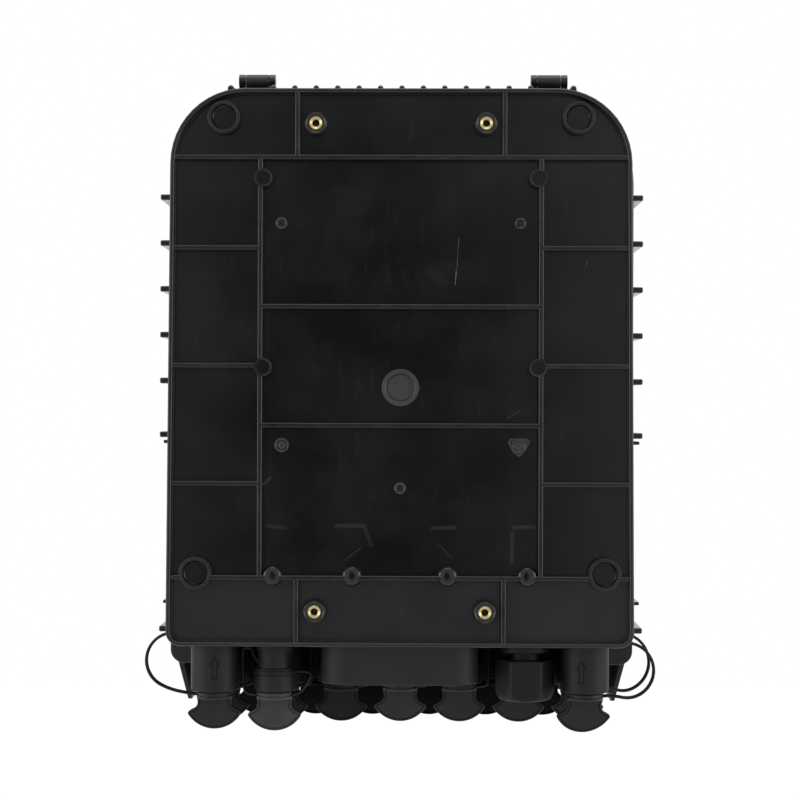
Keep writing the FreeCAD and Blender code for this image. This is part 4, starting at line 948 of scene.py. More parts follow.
@dataclass
class Studio:
    """White studio: floor, soft lamps, a dark patch of the room behind the camera, and the camera itself."""

    camera: tuple[float, float, float] = (0.01053, -0.90100, -0.01928)
    look: tuple[float, float, float] = (-0.0118, 1.0, 0.0034)
    roll: float = 0.2
    lens: float = 81.05
    sensor: float = 36
    floor_level: float = -0.62
    floor_half: float = 3.0
    floor_near: float = -0.35
    floor_colour: tuple[float, float, float, float] = (0.80, 0.80, 0.80, 1)
    floor_rough: float = 0.9
    floor_glow: float = 1.04
    floor_share: float = 0.92
    dark_place: Pair = (-0.03, -0.02)
    dark_edge: Pair = (0.10, 0.48)
    dark_narrow: float = 2.0
    ahead_edge: Pair = (-0.15, 0.15)
    room: Pair = (0.03, 0.80)
    room_tint: tuple[float, float, float, float] = (0.97, 1.0, 0.99, 1.0)
    lamps: tuple[Lamp, ...] = (
        Lamp("lamp_left", (-1.30, -0.45, 0.10), 0.9, 5.5, (0.95, 0.98, 1.0)),
        Lamp("lamp_right", (1.30, -0.45, 0.10), 0.9, 5.5, (0.98, 1.0, 0.97)),
        Lamp("lamp_top", (0.0, -0.10, 1.35), 1.0, 5.0),
    )

    def build(self) -> None:
        """Sets up the stage, the lamps, the world and the camera."""
        self._floor()
        for lamp in self.lamps:
            self._lamp(lamp)
        self._world()
        self._camera()

    def _floor(self) -> None:
        """The pale floor, white to the camera and in reflections, with a trace of the shadow on it."""
        far, near, level = self.floor_half, self.floor_near, self.floor_level
        mesh = bpy.data.meshes.new("studio_floor")
        corners = [(-far, near, level), (far, near, level), (far, far, level), (-far, far, level)]
        mesh.from_pydata(corners, [], [(0, 1, 2, 3)])
        sheet = MaterialSheet("studio_floor_white")
        sheet.shade(Base_Color=self.floor_colour, Roughness=self.floor_rough)
        path = sheet.add("ShaderNodeLightPath").outputs
        seen = sheet.math("MAXIMUM", path["Is Camera Ray"], path["Is Transmission Ray"])
        seen = sheet.math("MAXIMUM", seen, path["Is Glossy Ray"])
        share = sheet.math("MULTIPLY", seen, self.floor_share)
        glow = sheet.add("ShaderNodeEmission", {"Color": WHITE, "Strength": self.floor_glow}).outputs[0]
        blend = sheet.add("ShaderNodeMixShader", {0: share, 1: sheet.shader.outputs[0], 2: glow}).outputs[0]
        sheet.feed(sheet.tree.nodes["Material Output"].inputs["Surface"], blend)
        mesh.materials.append(sheet.material)
        floor = add_object("studio_floor", mesh)

    @staticmethod
    def _lamp(lamp: Lamp) -> None:
        """Hangs one lamp so that it faces the box.

        Args:
            lamp: The lamp.
        """
        light = bpy.data.lights.new(lamp.name, "AREA")
        light.size = lamp.width
        light.energy = lamp.power
        light.color = lamp.colour
        holder = add_object(lamp.name, light)
        holder.location = lamp.place
        holder.rotation_euler = (-Vector(lamp.place)).to_track_quat("-Z", "Y").to_euler()

    def _world(self) -> None:
        """A pale room: white ahead and to the camera, dark only in a patch behind the camera."""
        world = bpy.data.worlds.new("studio_world")
        world.use_nodes = True
        bpy.context.scene.world = world
        sheet = NodeSheet(world.node_tree, "Generated")
        across, up = self.dark_place
        place = {"Location": (-across * self.dark_narrow, 0, -up), "Scale": (self.dark_narrow, 0, 1)}
        shift = sheet.add("ShaderNodeMapping", {"Vector": sheet.where, **place}).outputs[0]
        reach = sheet.vector("LENGTH", {0: shift}, "Value")
        soft = sheet.ramp(reach, *self.dark_edge, *self.room, interpolation_type="SMOOTHSTEP")
        ahead = sheet.ramp(sheet.part(1), *self.ahead_edge)
        strength = sheet.math("MAXIMUM", soft, ahead)
        room = sheet.add("ShaderNodeBackground", {"Color": self.room_tint, "Strength": strength}).outputs[0]
        white = sheet.add("ShaderNodeBackground", {"Color": WHITE, "Strength": 1.0}).outputs[0]
        path = sheet.add("ShaderNodeLightPath").outputs
        seen = sheet.math("MAXIMUM", path["Is Camera Ray"], path["Is Transmission Ray"])
        seen = sheet.math("MAXIMUM", seen, sheet.math("MULTIPLY", path["Is Glossy Ray"], ahead))
        blend = sheet.add("ShaderNodeMixShader", {0: seen, 1: room, 2: white}).outputs[0]
        sheet.feed(sheet.tree.nodes["World Output"].inputs["Surface"], blend)

    def _camera(self) -> None:
        """The camera behind the box, straight on."""
        lens = bpy.data.cameras.new("camera")
        lens.lens = self.lens
        lens.sensor_width = self.sensor
        camera = add_object("camera", lens)
        camera.location = self.camera
        level = Vector(self.look).to_track_quat("-Z", "Y")
        camera.rotation_euler = (level @ Quaternion((0, 0, 1), math.radians(self.roll))).to_euler()
        bpy.context.scene.camera = camera


@dataclass
class CaseShell:
    """The moulded case: tub with rear rim and front flange, hinge ears on top, and posts inside."""

    half: float = 116.5
    height: float = 140
    depth: float = 88
    corner_top: float = 37.5
    corner_low: float = 7.5
    corner_least: float = 0.3
    wall: float = 3
    recess: float = 5
    panel: float = 3
    rim: float = 2.3
    rim_edge: float = 0.85
    flange: float = 6
    flange_side: float = 9.5
    flange_drop: float = 20
    flange_edge: float = 0.6
    seal_inset: float = 4
    seal_width: float = 3
    seal_depth: float = 3
    draft: float = 0.000055
    latch_seat: float = 122.5
    latch_low: float = -121.3
    latch_high: float = -40.7
    hinge_x: float = 80
    hinge_length: float = 20
    hinge_ear: float = 3.5
    hinge_head: float = 3.95
    hinge_z: float = 158.7
    hinge_sink: float = 1.5
    hinge_foot: float = 4
    hinge_steps: int = 26
    hinge_edge: float = 0.2
    notch_edge: float = 0.3
    post_x: Pair = (-70, 70)
    post_z: Pair = (-50, 86)
    post_half: float = 4.5
    post_top: float = 38
    post_edge: float = 0.6
    clamp_x: Pair = (58.2, 69.2)
    clamp_z: Pair = (-93.5, -82.5)
    clamp_top: float = 18

    def outline(self, pull: float) -> Flat:
        """The case's outline in X and Z, moved inwards, or outwards below zero."""
        low = max(self.corner_least, self.corner_low - pull)
        return rounded_box(self.half - pull, pull - self.height, self.height - pull, low,
                           self.corner_top - pull)

    def flange_outline(self, pull: float) -> Flat:
        """The flange's outline in X and Z, moved inwards.

        Args:
            pull: How far inwards.

        Returns:
            The outline.
        """
        side = self.flange_side - pull
        low = pull - self.height - self.flange_drop
        return rounded_box(self.half + side, low, self.height + side, self.corner_low - pull,
                           self.corner_top + side)

    def build(self) -> None:
        """Makes the tub, the ears and the posts."""
        tub = cut_away("case_tub", self._tub(), self._latch_notches())
        set_rigid("case_tub", tub, Finish.REAR, *CASE_PART)
        set_rigid("hinge_ears", self._ears(), Finish.CASE, *CASE_PART)
        set_rigid("inner_posts", self._posts(), Finish.CASE, *CASE_PART)

    def _tub(self) -> Mould:
        """One closed skin from the rear panel over rim, wall and flange into the inside.

        Returns:
            The tub's mould.
        """
        front, back = self.depth, self.depth - self.flange
        deep = self.recess + self.panel
        groove = self.depth - self.seal_depth
        inner = self.wall - self.seal_inset
        outer = inner - self.seal_width
        rim_steps, flange_steps = quarter(self.rim_edge), quarter(self.flange_edge)
        rows: list[tuple[Flat, float]] = [
            (self.outline(self.rim + 0.4), self.recess),
            (self.outline(self.rim + 0.1), self.recess - 0.1),
            (self.outline(self.rim), self.recess - 0.4),
        ]
        rows += [(self.outline(self.rim - pull), depth) for pull, depth in reversed(rim_steps)]
        rows += [(self.outline(pull), depth) for pull, depth in rim_steps]
        rows += [(self.outline(pull), back + rise) for pull, rise in ((0, -0.8), (-0.25, -0.25), (-0.8, 0))]
        rows += [(self.flange_outline(pull), back + depth) for pull, depth in flange_steps]
        rows += [(self.flange_outline(pull), front - depth) for pull, depth in reversed(flange_steps)]
        rows += [(self.outline(outer), front), (self.outline(outer), groove)]
        rows += [(self.outline(inner), groove), (self.outline(inner), front)]
        rows += [(self.outline(self.wall - 0.4), front), (self.outline(self.wall), front - 0.4)]
        rows += [(self.outline(self.wall), deep + 1), (self.outline(self.wall + 1), deep)]
        rings = []
        for outline, y in rows:
            lean = self.draft * max(0, 1 - y / back)
            rings.append(Axis.Y.ring([(x * (1 - lean * z), z) for x, z in outline], y))
        return Mould().loft(rings)

    def _latch_notches(self) -> Mould:
        """What is cut out of the flange on both sides, so that the latches lie inside its edge.

        Returns:
            The knife's mould.
        """
        mould = Mould()
        back = self.depth - self.flange - self.notch_edge
        for side in SIDES:
            ends = sorted((side * self.latch_seat, side * (self.half + self.flange_side + 2)))
            highest = (ends[1], self.depth + 1, self.latch_high)
            mould.bar((ends[0], back, self.latch_low), highest, self.notch_edge)
        return mould

    def _ears(self) -> Mould:
        """The two ears of each hinge, with round heads.

        Returns:
            The ears' mould.
        """
        mould = Mould()
        foot = self.height + self.flange_side - self.hinge_sink
        head = arc_points((self.depth, self.hinge_z), self.hinge_head, -90, 240, self.hinge_steps)
        shape = [(self.depth, foot), *head, (self.depth - self.flange + self.hinge_foot, foot)]
        for side in SIDES:
            for end in SIDES:
                middle = side * self.hinge_x + end * (self.hinge_length - self.hinge_ear) / 2
                ends = (middle - self.hinge_ear / 2, middle + self.hinge_ear / 2)
                mould.slab(shape, Axis.X, *ends, self.hinge_edge)
        return mould

    def _posts(self) -> Mould:
        """Posts inside for the splice tray and the clamp.

        Returns:
            The posts' mould.
        """
        mould = Mould()
        root = self.recess + self.panel - 1
        half = self.post_half
        for x in self.post_x:
            for z in self.post_z:
                mould.bar((x - half, root, z - half), (x + half, self.post_top, z + half), self.post_edge)
        lowest = (self.clamp_x[0], root, self.clamp_z[0])
        return mould.bar(lowest, (self.clamp_x[1], self.clamp_top, self.clamp_z[1]), self.post_edge)


@dataclass
class RearDetails:
    """What stands on the rear panel: the grid of ribs, bosses, pegs, studs and the gate mark."""

    inside: float = 115.0
    end: float = 138.6
    top: float = 0.5
    root: float = 6.0
    rib: float = 2.5
    round: float = 0.7
    round_steps: int = 4
    cross_z: float = 105.5
    column_x: float = 70.5
    stub_x: float = 52
    side_levels: tuple[float, ...] = (60, 0.9, -58.3)
    inner_levels: tuple[float, ...] = (30.6, -29)
    rings: Pairs = ((-89, 125.5), (89, 125.5), (-102.6, -103.3), (102.6, -103.3))
    ring_half: float = 6.9
    boss_half: float = 3.7
    boss_side: float = 2.4
    rib_bosses: Pairs = ((-69, 95), (69, 95), (-69, 0.1), (69, 0.1))
    small_pegs: Pairs = ((-60, 72.5), (60, 72.5), (0, -60.5))
    small_peg: float = 3.0
    large_pegs: Pairs = ((-59.5, -39), (59.5, -39))
    large_peg: float = 3.7
    studs: Pairs = ((-64, -104.6), (-24, -104.6), (24, -104.6), (64, -104.6))
    stud_sides: int = 9
    core_sides: int = 24
    large_core_sides: int = 11
    gate_sides: int = 64
    shield: Pairs = ((0.5, -5.8), (4.0, -2.1), (6.0, 2.0), (5.5, 3.0), (3.4, 4.1), (-4.6, 3.9), (-5.5, 1.1),
                     (-3.0, -3.5))
    gate: Pair = (0, -10)

    def build(self) -> None:
        """Makes ribs, bosses, pegs, seats and the gate mark."""
        for name, form, finish in (
            ("rear_ribs", self._ribs(), Finish.CASE),
            ("rear_bosses", self._rings(), Finish.CASE),
            ("rib_bosses", self._rib_bosses(), Finish.RIM),
            ("rear_pegs", self._pegs(), Finish.PEG),
            ("rear_seats", self._seats(), Finish.BOSS),
            ("gate_mark", self._gate(), Finish.GATE),
        ):
            set_rigid(name, form, finish, *CASE_PART)

    def _ribs(self) -> Mould:
        """The grid of ribs, each with rounded edges.

        Returns:
            The ribs' mould.
        """
        mould = Mould()
        half = self.rib / 2

        def lying(left: float, right: float, level: float) -> None:
            """One rib across, from left to right, at a level."""
            low, high = (left, self.top, level - half), (right, self.root, level + half)
            mould.bar(low, high, self.round, self.round_steps)

        def standing(x: float, low: float, high: float) -> None:
            """One upright rib at a place across, from low to high."""
            mould.bar((x - half, self.top, low), (x + half, self.root, high), self.round, self.round_steps)

        lying(-self.inside, self.inside, self.cross_z)
        reach = self.rings[-1][0]
        lying(-reach + self.ring_half, reach - self.ring_half, -self.cross_z)
        for side in SIDES:
            ends = sorted((side * self.inside, side * (reach + self.ring_half)))
            lying(ends[0], ends[1], -self.cross_z)
        for level in self.side_levels:
            near = self.column_x + (self.boss_side if abs(level - self.rib_bosses[-1][1]) < half else 0)
            lying(near, self.inside, level)
            lying(-self.inside, -near, level)
        for level in self.inner_levels:
            lying(-self.column_x, self.column_x, level)
        stops = [-self.cross_z]
        for _, level in sorted(self.rib_bosses[1::2], key=lambda place: place[1]):
            stops += [level - self.boss_half, level + self.boss_half]
        stops.append(self.cross_z)
        for side in SIDES:
            for low, high in zip(stops[::2], stops[1::2]):
                standing(side * self.column_x, low, high)
            standing(side * self.stub_x, self.cross_z, self.end)
            standing(side * self.stub_x, -self.end, -self.cross_z)
        return mould

    def _rings(self) -> Mould:
        """The four rings in the corners.

        Returns:
            The rings' mould.
        """
        top = self.top
        profile = [(8.6, self.root), (8.3, top + 0.7), (8.15, top + 0.2), (7.75, top), (6.85, top),
                   (6.5, top + 0.2), (6.35, top + 0.7), (6.1, 4.5), (5.6, 4.92)]
        return Mould().lathe_all(profile, self.rings)

    def _rib_bosses(self) -> Mould:
        """Hollow bosses in the upright ribs, each with a thin rubbed rim."""
        profile = [(4.8, self.root), (4.65, 0.95), (4.55, 0.4), (4.4, 0.12), (3.95, 0.12), (3.8, 0.4),
                   (3.7, 0.95), (3.6, 1.9), (3.3, 2.0)]
        return Mould().lathe_all(profile, self.rib_bosses)

    def _seats(self) -> Mould:
        """Studs, the seats of the inserts and the cores of the small pegs.

        Returns:
            Their mould.
        """
        stud = [(5.7, self.root), (5.4, 3.2), (5.0, 1.7), (4.4, 0.8), (3.3, 0.3), (1.9, 0.1), (0.8, 0.06)]
        seat = [(6.1, self.root), (5.75, 0.9), (5.55, 0.35), (5.2, 0.1), (4.9, 0.1), (4.5, 0.45), (3.9, 0.6),
                (3.62, 0.7), (3.6, 6.45)]
        core = [(1.75, 3.9), (1.72, 3.0), (1.4, 2.8), (0.5, 2.75)]
        mould = Mould().lathe_all(stud, self.studs, self.stud_sides)
        return mould.lathe_all(seat, INSERT_PLACES).lathe_all(core, self.small_pegs, self.core_sides)

    def _pegs(self) -> Mould:
        """Pegs with a hollow end, one of them with a shield-shaped foot.

        Returns:
            The pegs' mould.
        """
        mould = Mould().lathe_all(self._peg(self.small_peg), self.small_pegs)
        mould.lathe_all(self._peg(self.large_peg), self.large_pegs)
        core = [(2.2, 3.9), (2.15, 2.5), (1.8, 2.2), (0.6, 2.1)]
        mould.lathe_all(core, self.large_pegs, self.large_core_sides)
        x, z = self.large_pegs[-1]
        return mould.slab([(x + across, z + up) for across, up in self.shield], Axis.Y, 2.6, self.root, 0.8)

    def _peg(self, radius: float) -> Flat:
        """The profile of a peg with a hollow in its end, as pairs of radius and depth."""
        return [(radius + 0.25, self.root), (radius, 2.6), (radius - 0.15, 2.2), (radius - 0.5, 2.0),
                (radius - 0.9, 2.0), (radius - 1.15, 2.2), (radius - 1.3, 2.9), (radius - 1.35, 3.9)]

    def _gate(self) -> Mould:
        """The disc that the moulding's gate leaves: a raised rim, a flat-sided hollow and a dot.

        Returns:
            The disc's mould.
        """
        x, z = self.gate
        rim = [(9.8, self.root), (9.5, 4.4), (9.25, 3.7), (8.6, 3.4), (7.9, 3.4), (7.3, 3.75), (6.9, 4.4)]
        mould = Mould().lathe(rim, self.gate, Axis.Y, self.gate_sides)
        mould.slab(arc_points(self.gate, 6.3, 50, 310, 40), Axis.Y, 3.85, self.root, 0.35)
        return mould.lathe([(0.5, 4.2), (0.4, 3.8), (0.2, 3.74)], (x + 0.9, z), Axis.Y, 16)


@dataclass(frozen=True)
class Plate:
    """A plate on a side wall: how far out it reaches, where it starts in depth, thickness and edge radius."""

    tip: float
    back: float
    thick: float
    edge: float


@dataclass
class SideFins:
    """Fins on both sides, guard ribs beside the latches and the row of ribs on top."""

    wall: float = 116.5
    sink: float = 1.5
    front: float = 82.3
    fin: Plate = Plate(124.9, 30, 3, 0.8)
    guard: Plate = Plate(125.7, 50, 1.8, 0.5)
    pitch: float = 23.75
    count: int = 5
    low_z: float = -6.4
    single_levels: tuple[float, ...] = (-34.3, -134.9)
    guard_levels: tuple[float, ...] = (-38.4, -123)
    top_pitch: float = 11.1
    top_count: int = 13
    top_outer: float = 88.8
    top_root: float = 138

    def build(self, row: RepeatTree) -> None:
        """Makes the fins and the top ribs.

        Args:
            row: The tree that repeats along a line.
        """
        parts = []
        for side in SIDES:
            fin = self._stand(Mould(), self.fin, side, (0,))
            parts.append(row.run(fin, f"fins_{side}", self.count, (0, 0, self.low_z * MM),
                                 (0, 0, self.pitch * MM), Finish.CASE))
            singles = self._stand(Mould(), self.fin, side, self.single_levels)
            self._stand(singles, self.guard, side, self.guard_levels)
            parts.append(singles.mesh(f"single_fins_{side}"))
        set_rigid("side_fins", join_meshes("side_fins", parts), Finish.CASE, *CASE_PART)
        first = -self.top_pitch * (self.top_count - 1) / 2
        ribs = []
        for name, count, start, pitch in (("middle", self.top_count, first, self.top_pitch),
                                          ("outer", 2, -self.top_outer, 2 * self.top_outer)):
            ribs.append(row.run(self._top_rib(), f"top_ribs_{name}", count, (start * MM, 0, 0),
                                (pitch * MM, 0, 0), Finish.CASE))
        set_rigid("top_ribs", join_meshes("top_ribs", ribs), Finish.CASE, *CASE_PART)

    def _stand(self, mould: Mould, plate: Plate, side: int, levels: Iterable[float]) -> Mould:
        """Adds plates that stand out from a side wall.

        Args:
            mould: Where they are added.
            plate: Their sizes.
            side: -1 for left, 1 for right.
            levels: Their levels.

        Returns:
            The mould.
        """
        ends = sorted((side * (self.wall - self.sink), side * plate.tip))
        half = plate.thick / 2
        for level in levels:
            mould.bar((ends[0], plate.back, level - half), (ends[1], self.front, level + half), plate.edge, 3)
        return mould

    def _top_rib(self) -> Mould:
        """One rib of the top at X zero, a little higher at the flange, with a round back.

        Returns:
            The rib's mould.
        """
        half = self.fin.thick / 2
        back = self.fin.back
        rings = []
        for y, rise in ((back, 145.6), (back + 0.5, 146.5), (back + 1.6, 147.0), (self.front, 149.45)):
            arch = arc_points((0, rise - half), half, 0, 180, 10)
            rings.append(Axis.Y.ring([(half, self.top_root)] + arch + [(-half, self.top_root)], y))
        return Mould().loft(rings)


@dataclass
class PortRows:
    """Moulded port tubes in three rows, and the oval cable entry."""

    floor: float = -140
    end: float = -164
    radius: float = 12.02
    sides: int = 64
    opening: Pair = (9.6, 7.7)
    opening_deep: float = 20
    rows: tuple[tuple[str, float, float, float, int, Finish], ...] = (
        ("port_row_1", -94.3, 16.5, 188.6, 2, Finish.PORT),
        # Rows 2 and 3 take the darker finish: painted shade between the rows.
        ("port_row_2", -93.0, 46.0, 31.0, 7, Finish.PORT_DARK_SHADE),
        ("port_row_3", -75.75, 67.5, 30.3, 6, Finish.PORT_DARK_SHADE),
    )
    arrows: tuple[tuple[float, float, float], ...] = ((-94.3, 1.3, -150.2), (94.3, -2.9, -151.5))
    arrow_bars: tuple[tuple[float, float, float, float], ...] = (
        (-1.3, -0.9, -6.6, 0.2), (0.9, 1.3, -6.6, 0.2), (-1.3, 1.3, -7.0, -6.6), (-2.3, -0.9, -0.2, 0.2),
        (0.9, 2.3, -0.2, 0.2))
    arrow_steps: int = 6
    arrow_half: float = 2.1
    arrow_step: Pair = (0.38, 0.7)
    arrow_line: Pair = (0.25, 0.8)
    mark_depth: Pair = (-0.2, 1.2)
    mark_edge: float = 0.08
    oval_half: float = 40
    oval_radius: float = 13.5
    oval_y: float = 17
    oval_end: float = -159.6
    oval_wall: float = 3
    oval_bottom: float = -144.0

    def build(self, row: RepeatTree) -> None:
        """Makes the tubes, their direction marks and the oval entry.

        Args:
            row: The tree that repeats along a line.
        """
        for name, first, depth, pitch, count, finish in self.rows:
            start, step = (first * MM, depth * MM, 0), (pitch * MM, 0, 0)
            set_rigid(name, row.run(self._tube(), name, count, start, step, finish), finish, *CASE_PART)
        set_rigid("port_marks", self._marks(), Finish.PORT_DARK_SHADE, *CASE_PART)
        set_rigid("oval_entry", self._oval(), Finish.ENTRY, *CASE_PART)

    def _tube(self) -> Mould:
        """One tube at X and Y zero, with a moulded root, a rounded lip and a square way in.

        Returns:
            The tube's mould.
        """
        root, end, radius = self.floor, self.end, self.radius
        outside = [(radius - 1.5, root + 2), (radius + 0.9, root + 0.3), (radius + 0.3, root - 0.7),
                   (radius, root - 2.0), (radius, end + 0.9), (radius - 0.25, end + 0.25),
                   (radius - 0.9, end)]
        rings = [Axis.Z.ring(circle((0, 0), reach, self.sides), level) for reach, level in outside]
        way = []
        for x, y in circle((0, 0), 1, self.sides):
            reach = 1 / max(abs(x) / (self.opening[0] / 2), abs(y) / (self.opening[1] / 2))
            way.append((x * reach, y * reach))
        rings += [Axis.Z.ring(way, end), Axis.Z.ring(way, end + self.opening_deep)]
        return Mould().loft(rings)

    def _marks(self) -> Mould:
        """A raised arrow on each rear tube that shows which way a plug goes in.

        Returns:
            The arrows' mould.
        """
        mould = Mould()
        bars = list(self.arrow_bars)
        for side in SIDES:
            for step in range(self.arrow_steps):
                across = side * (self.arrow_half - self.arrow_step[0] * step)
                rise = self.arrow_step[1] * step
                half, tall = self.arrow_line
                bars.append((across - half, across + half, rise, rise + tall))
        depth = self.rows[0][2]
        for tube, shift, level in self.arrows:
            middle = tube + shift
            for left, right, low, high in bars:
                skin = depth - math.sqrt(self.radius ** 2 - (shift + (left + right) / 2) ** 2)
                lowest = (middle + left, skin + self.mark_depth[0], level + low)
                highest = (middle + right, skin + self.mark_depth[1], level + high)
                mould.bar(lowest, highest, self.mark_edge, 1)
        return mould

    def _oval(self) -> Mould:
        """The oval spigot, hollow up to the rubber plug in it.

        Returns:
            The spigot's mould.
        """
        root, end, wall = self.floor, self.oval_end, self.oval_wall
        rows = [(-0.9, root + 1.0), (-0.9, root + 0.3), (-0.3, root - 0.6), (0, root - 1.6)]
        rows += [(pull, end + depth) for pull, depth in reversed(quarter(0.7))]
        rows += [(wall - 0.4, end), (wall, end + 0.4), (wall, self.oval_bottom)]
        rings = []
        for pull, level in rows:
            shape = stadium(self.oval_half - pull, self.oval_y, self.oval_radius - pull)
            rings.append(Axis.Z.ring(shape, level))
        return Mould().loft(rings)


@dataclass
class RearInserts:
    """Four knurled brass inserts in the rear bosses."""

    radius: float = 3.22
    bore: float = 1.95
    sides: int = 44
    ridges: int = 22
    ridge_half: float = 0.24
    length: float = 6.4
    turns: int = 9

    def build(self, ring: RepeatTree) -> None:
        """Makes the inserts.

        Args:
            ring: The tree that repeats round a line.
        """
        parts = []
        low = (self.radius - 0.2, 0.45, -self.ridge_half)
        high = (self.radius + 0.26, self.length - 0.3, self.ridge_half)
        for index, (x, z) in enumerate(INSERT_PLACES):
            sleeve = Mould().lathe(self._profile(), (x, z), Axis.Y, self.sides, closed=True)
            parts.append(sleeve.mesh(f"insert_sleeve_{index}"))
            ridge = Mould().bar(low, high, 0.1, 1)
            parts.append(ring.run(ridge, f"insert_knurl_{index}", self.ridges, (x * MM, 0, z * MM),
                                  (0, math.tau / self.ridges, 0), Finish.BRASS))
        inserts = join_meshes("brass_inserts", parts)
        set_rigid("brass_inserts", inserts, Finish.BRASS, "insert_brass", "base", "rear_inserts")

    def _profile(self) -> Flat:
        """The sleeve's profile: a bevelled end face and a threaded bore.

        Returns:
            Pairs of radius and depth.
        """
        profile = [(self.bore + 0.2, 0.6), (self.radius - 0.15, 0.08), (self.radius, 0.25),
                   (self.radius, self.length)]
        for step in range(self.turns, 0, -1):
            level = 0.45 + (self.length - 0.6) * step / self.turns
            profile += [(self.bore + 0.14, level), (self.bore - 0.1, level - 0.3)]
        return profile


class Strain(Enum):
    """How a cap's strap runs."""

    LEFT_LOOP = "left_loop"
    RIGHT_LOOP = "right_loop"
    RIGHT_OUTER_LOOP = "right_outer_loop"
    INPUT = "input"
    DROP = "drop"


def blend_strap(name: str, control: Ring, wide: float, thick: float) -> bpy.types.Object:
    """Makes a strap from the case to a cap, which stretches between the two.

    Args:
        name: The piece's name.
        control: Control points of its centre line, from its root to the cap.
        wide: Its width.
        thick: Its thickness.

    Returns:
        The strap.
    """
    route = smooth_route(control)
    strap = set_piece(name, Mould().strap(route, wide, thick), Finish.STRAP)
    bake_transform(strap)
    return strap


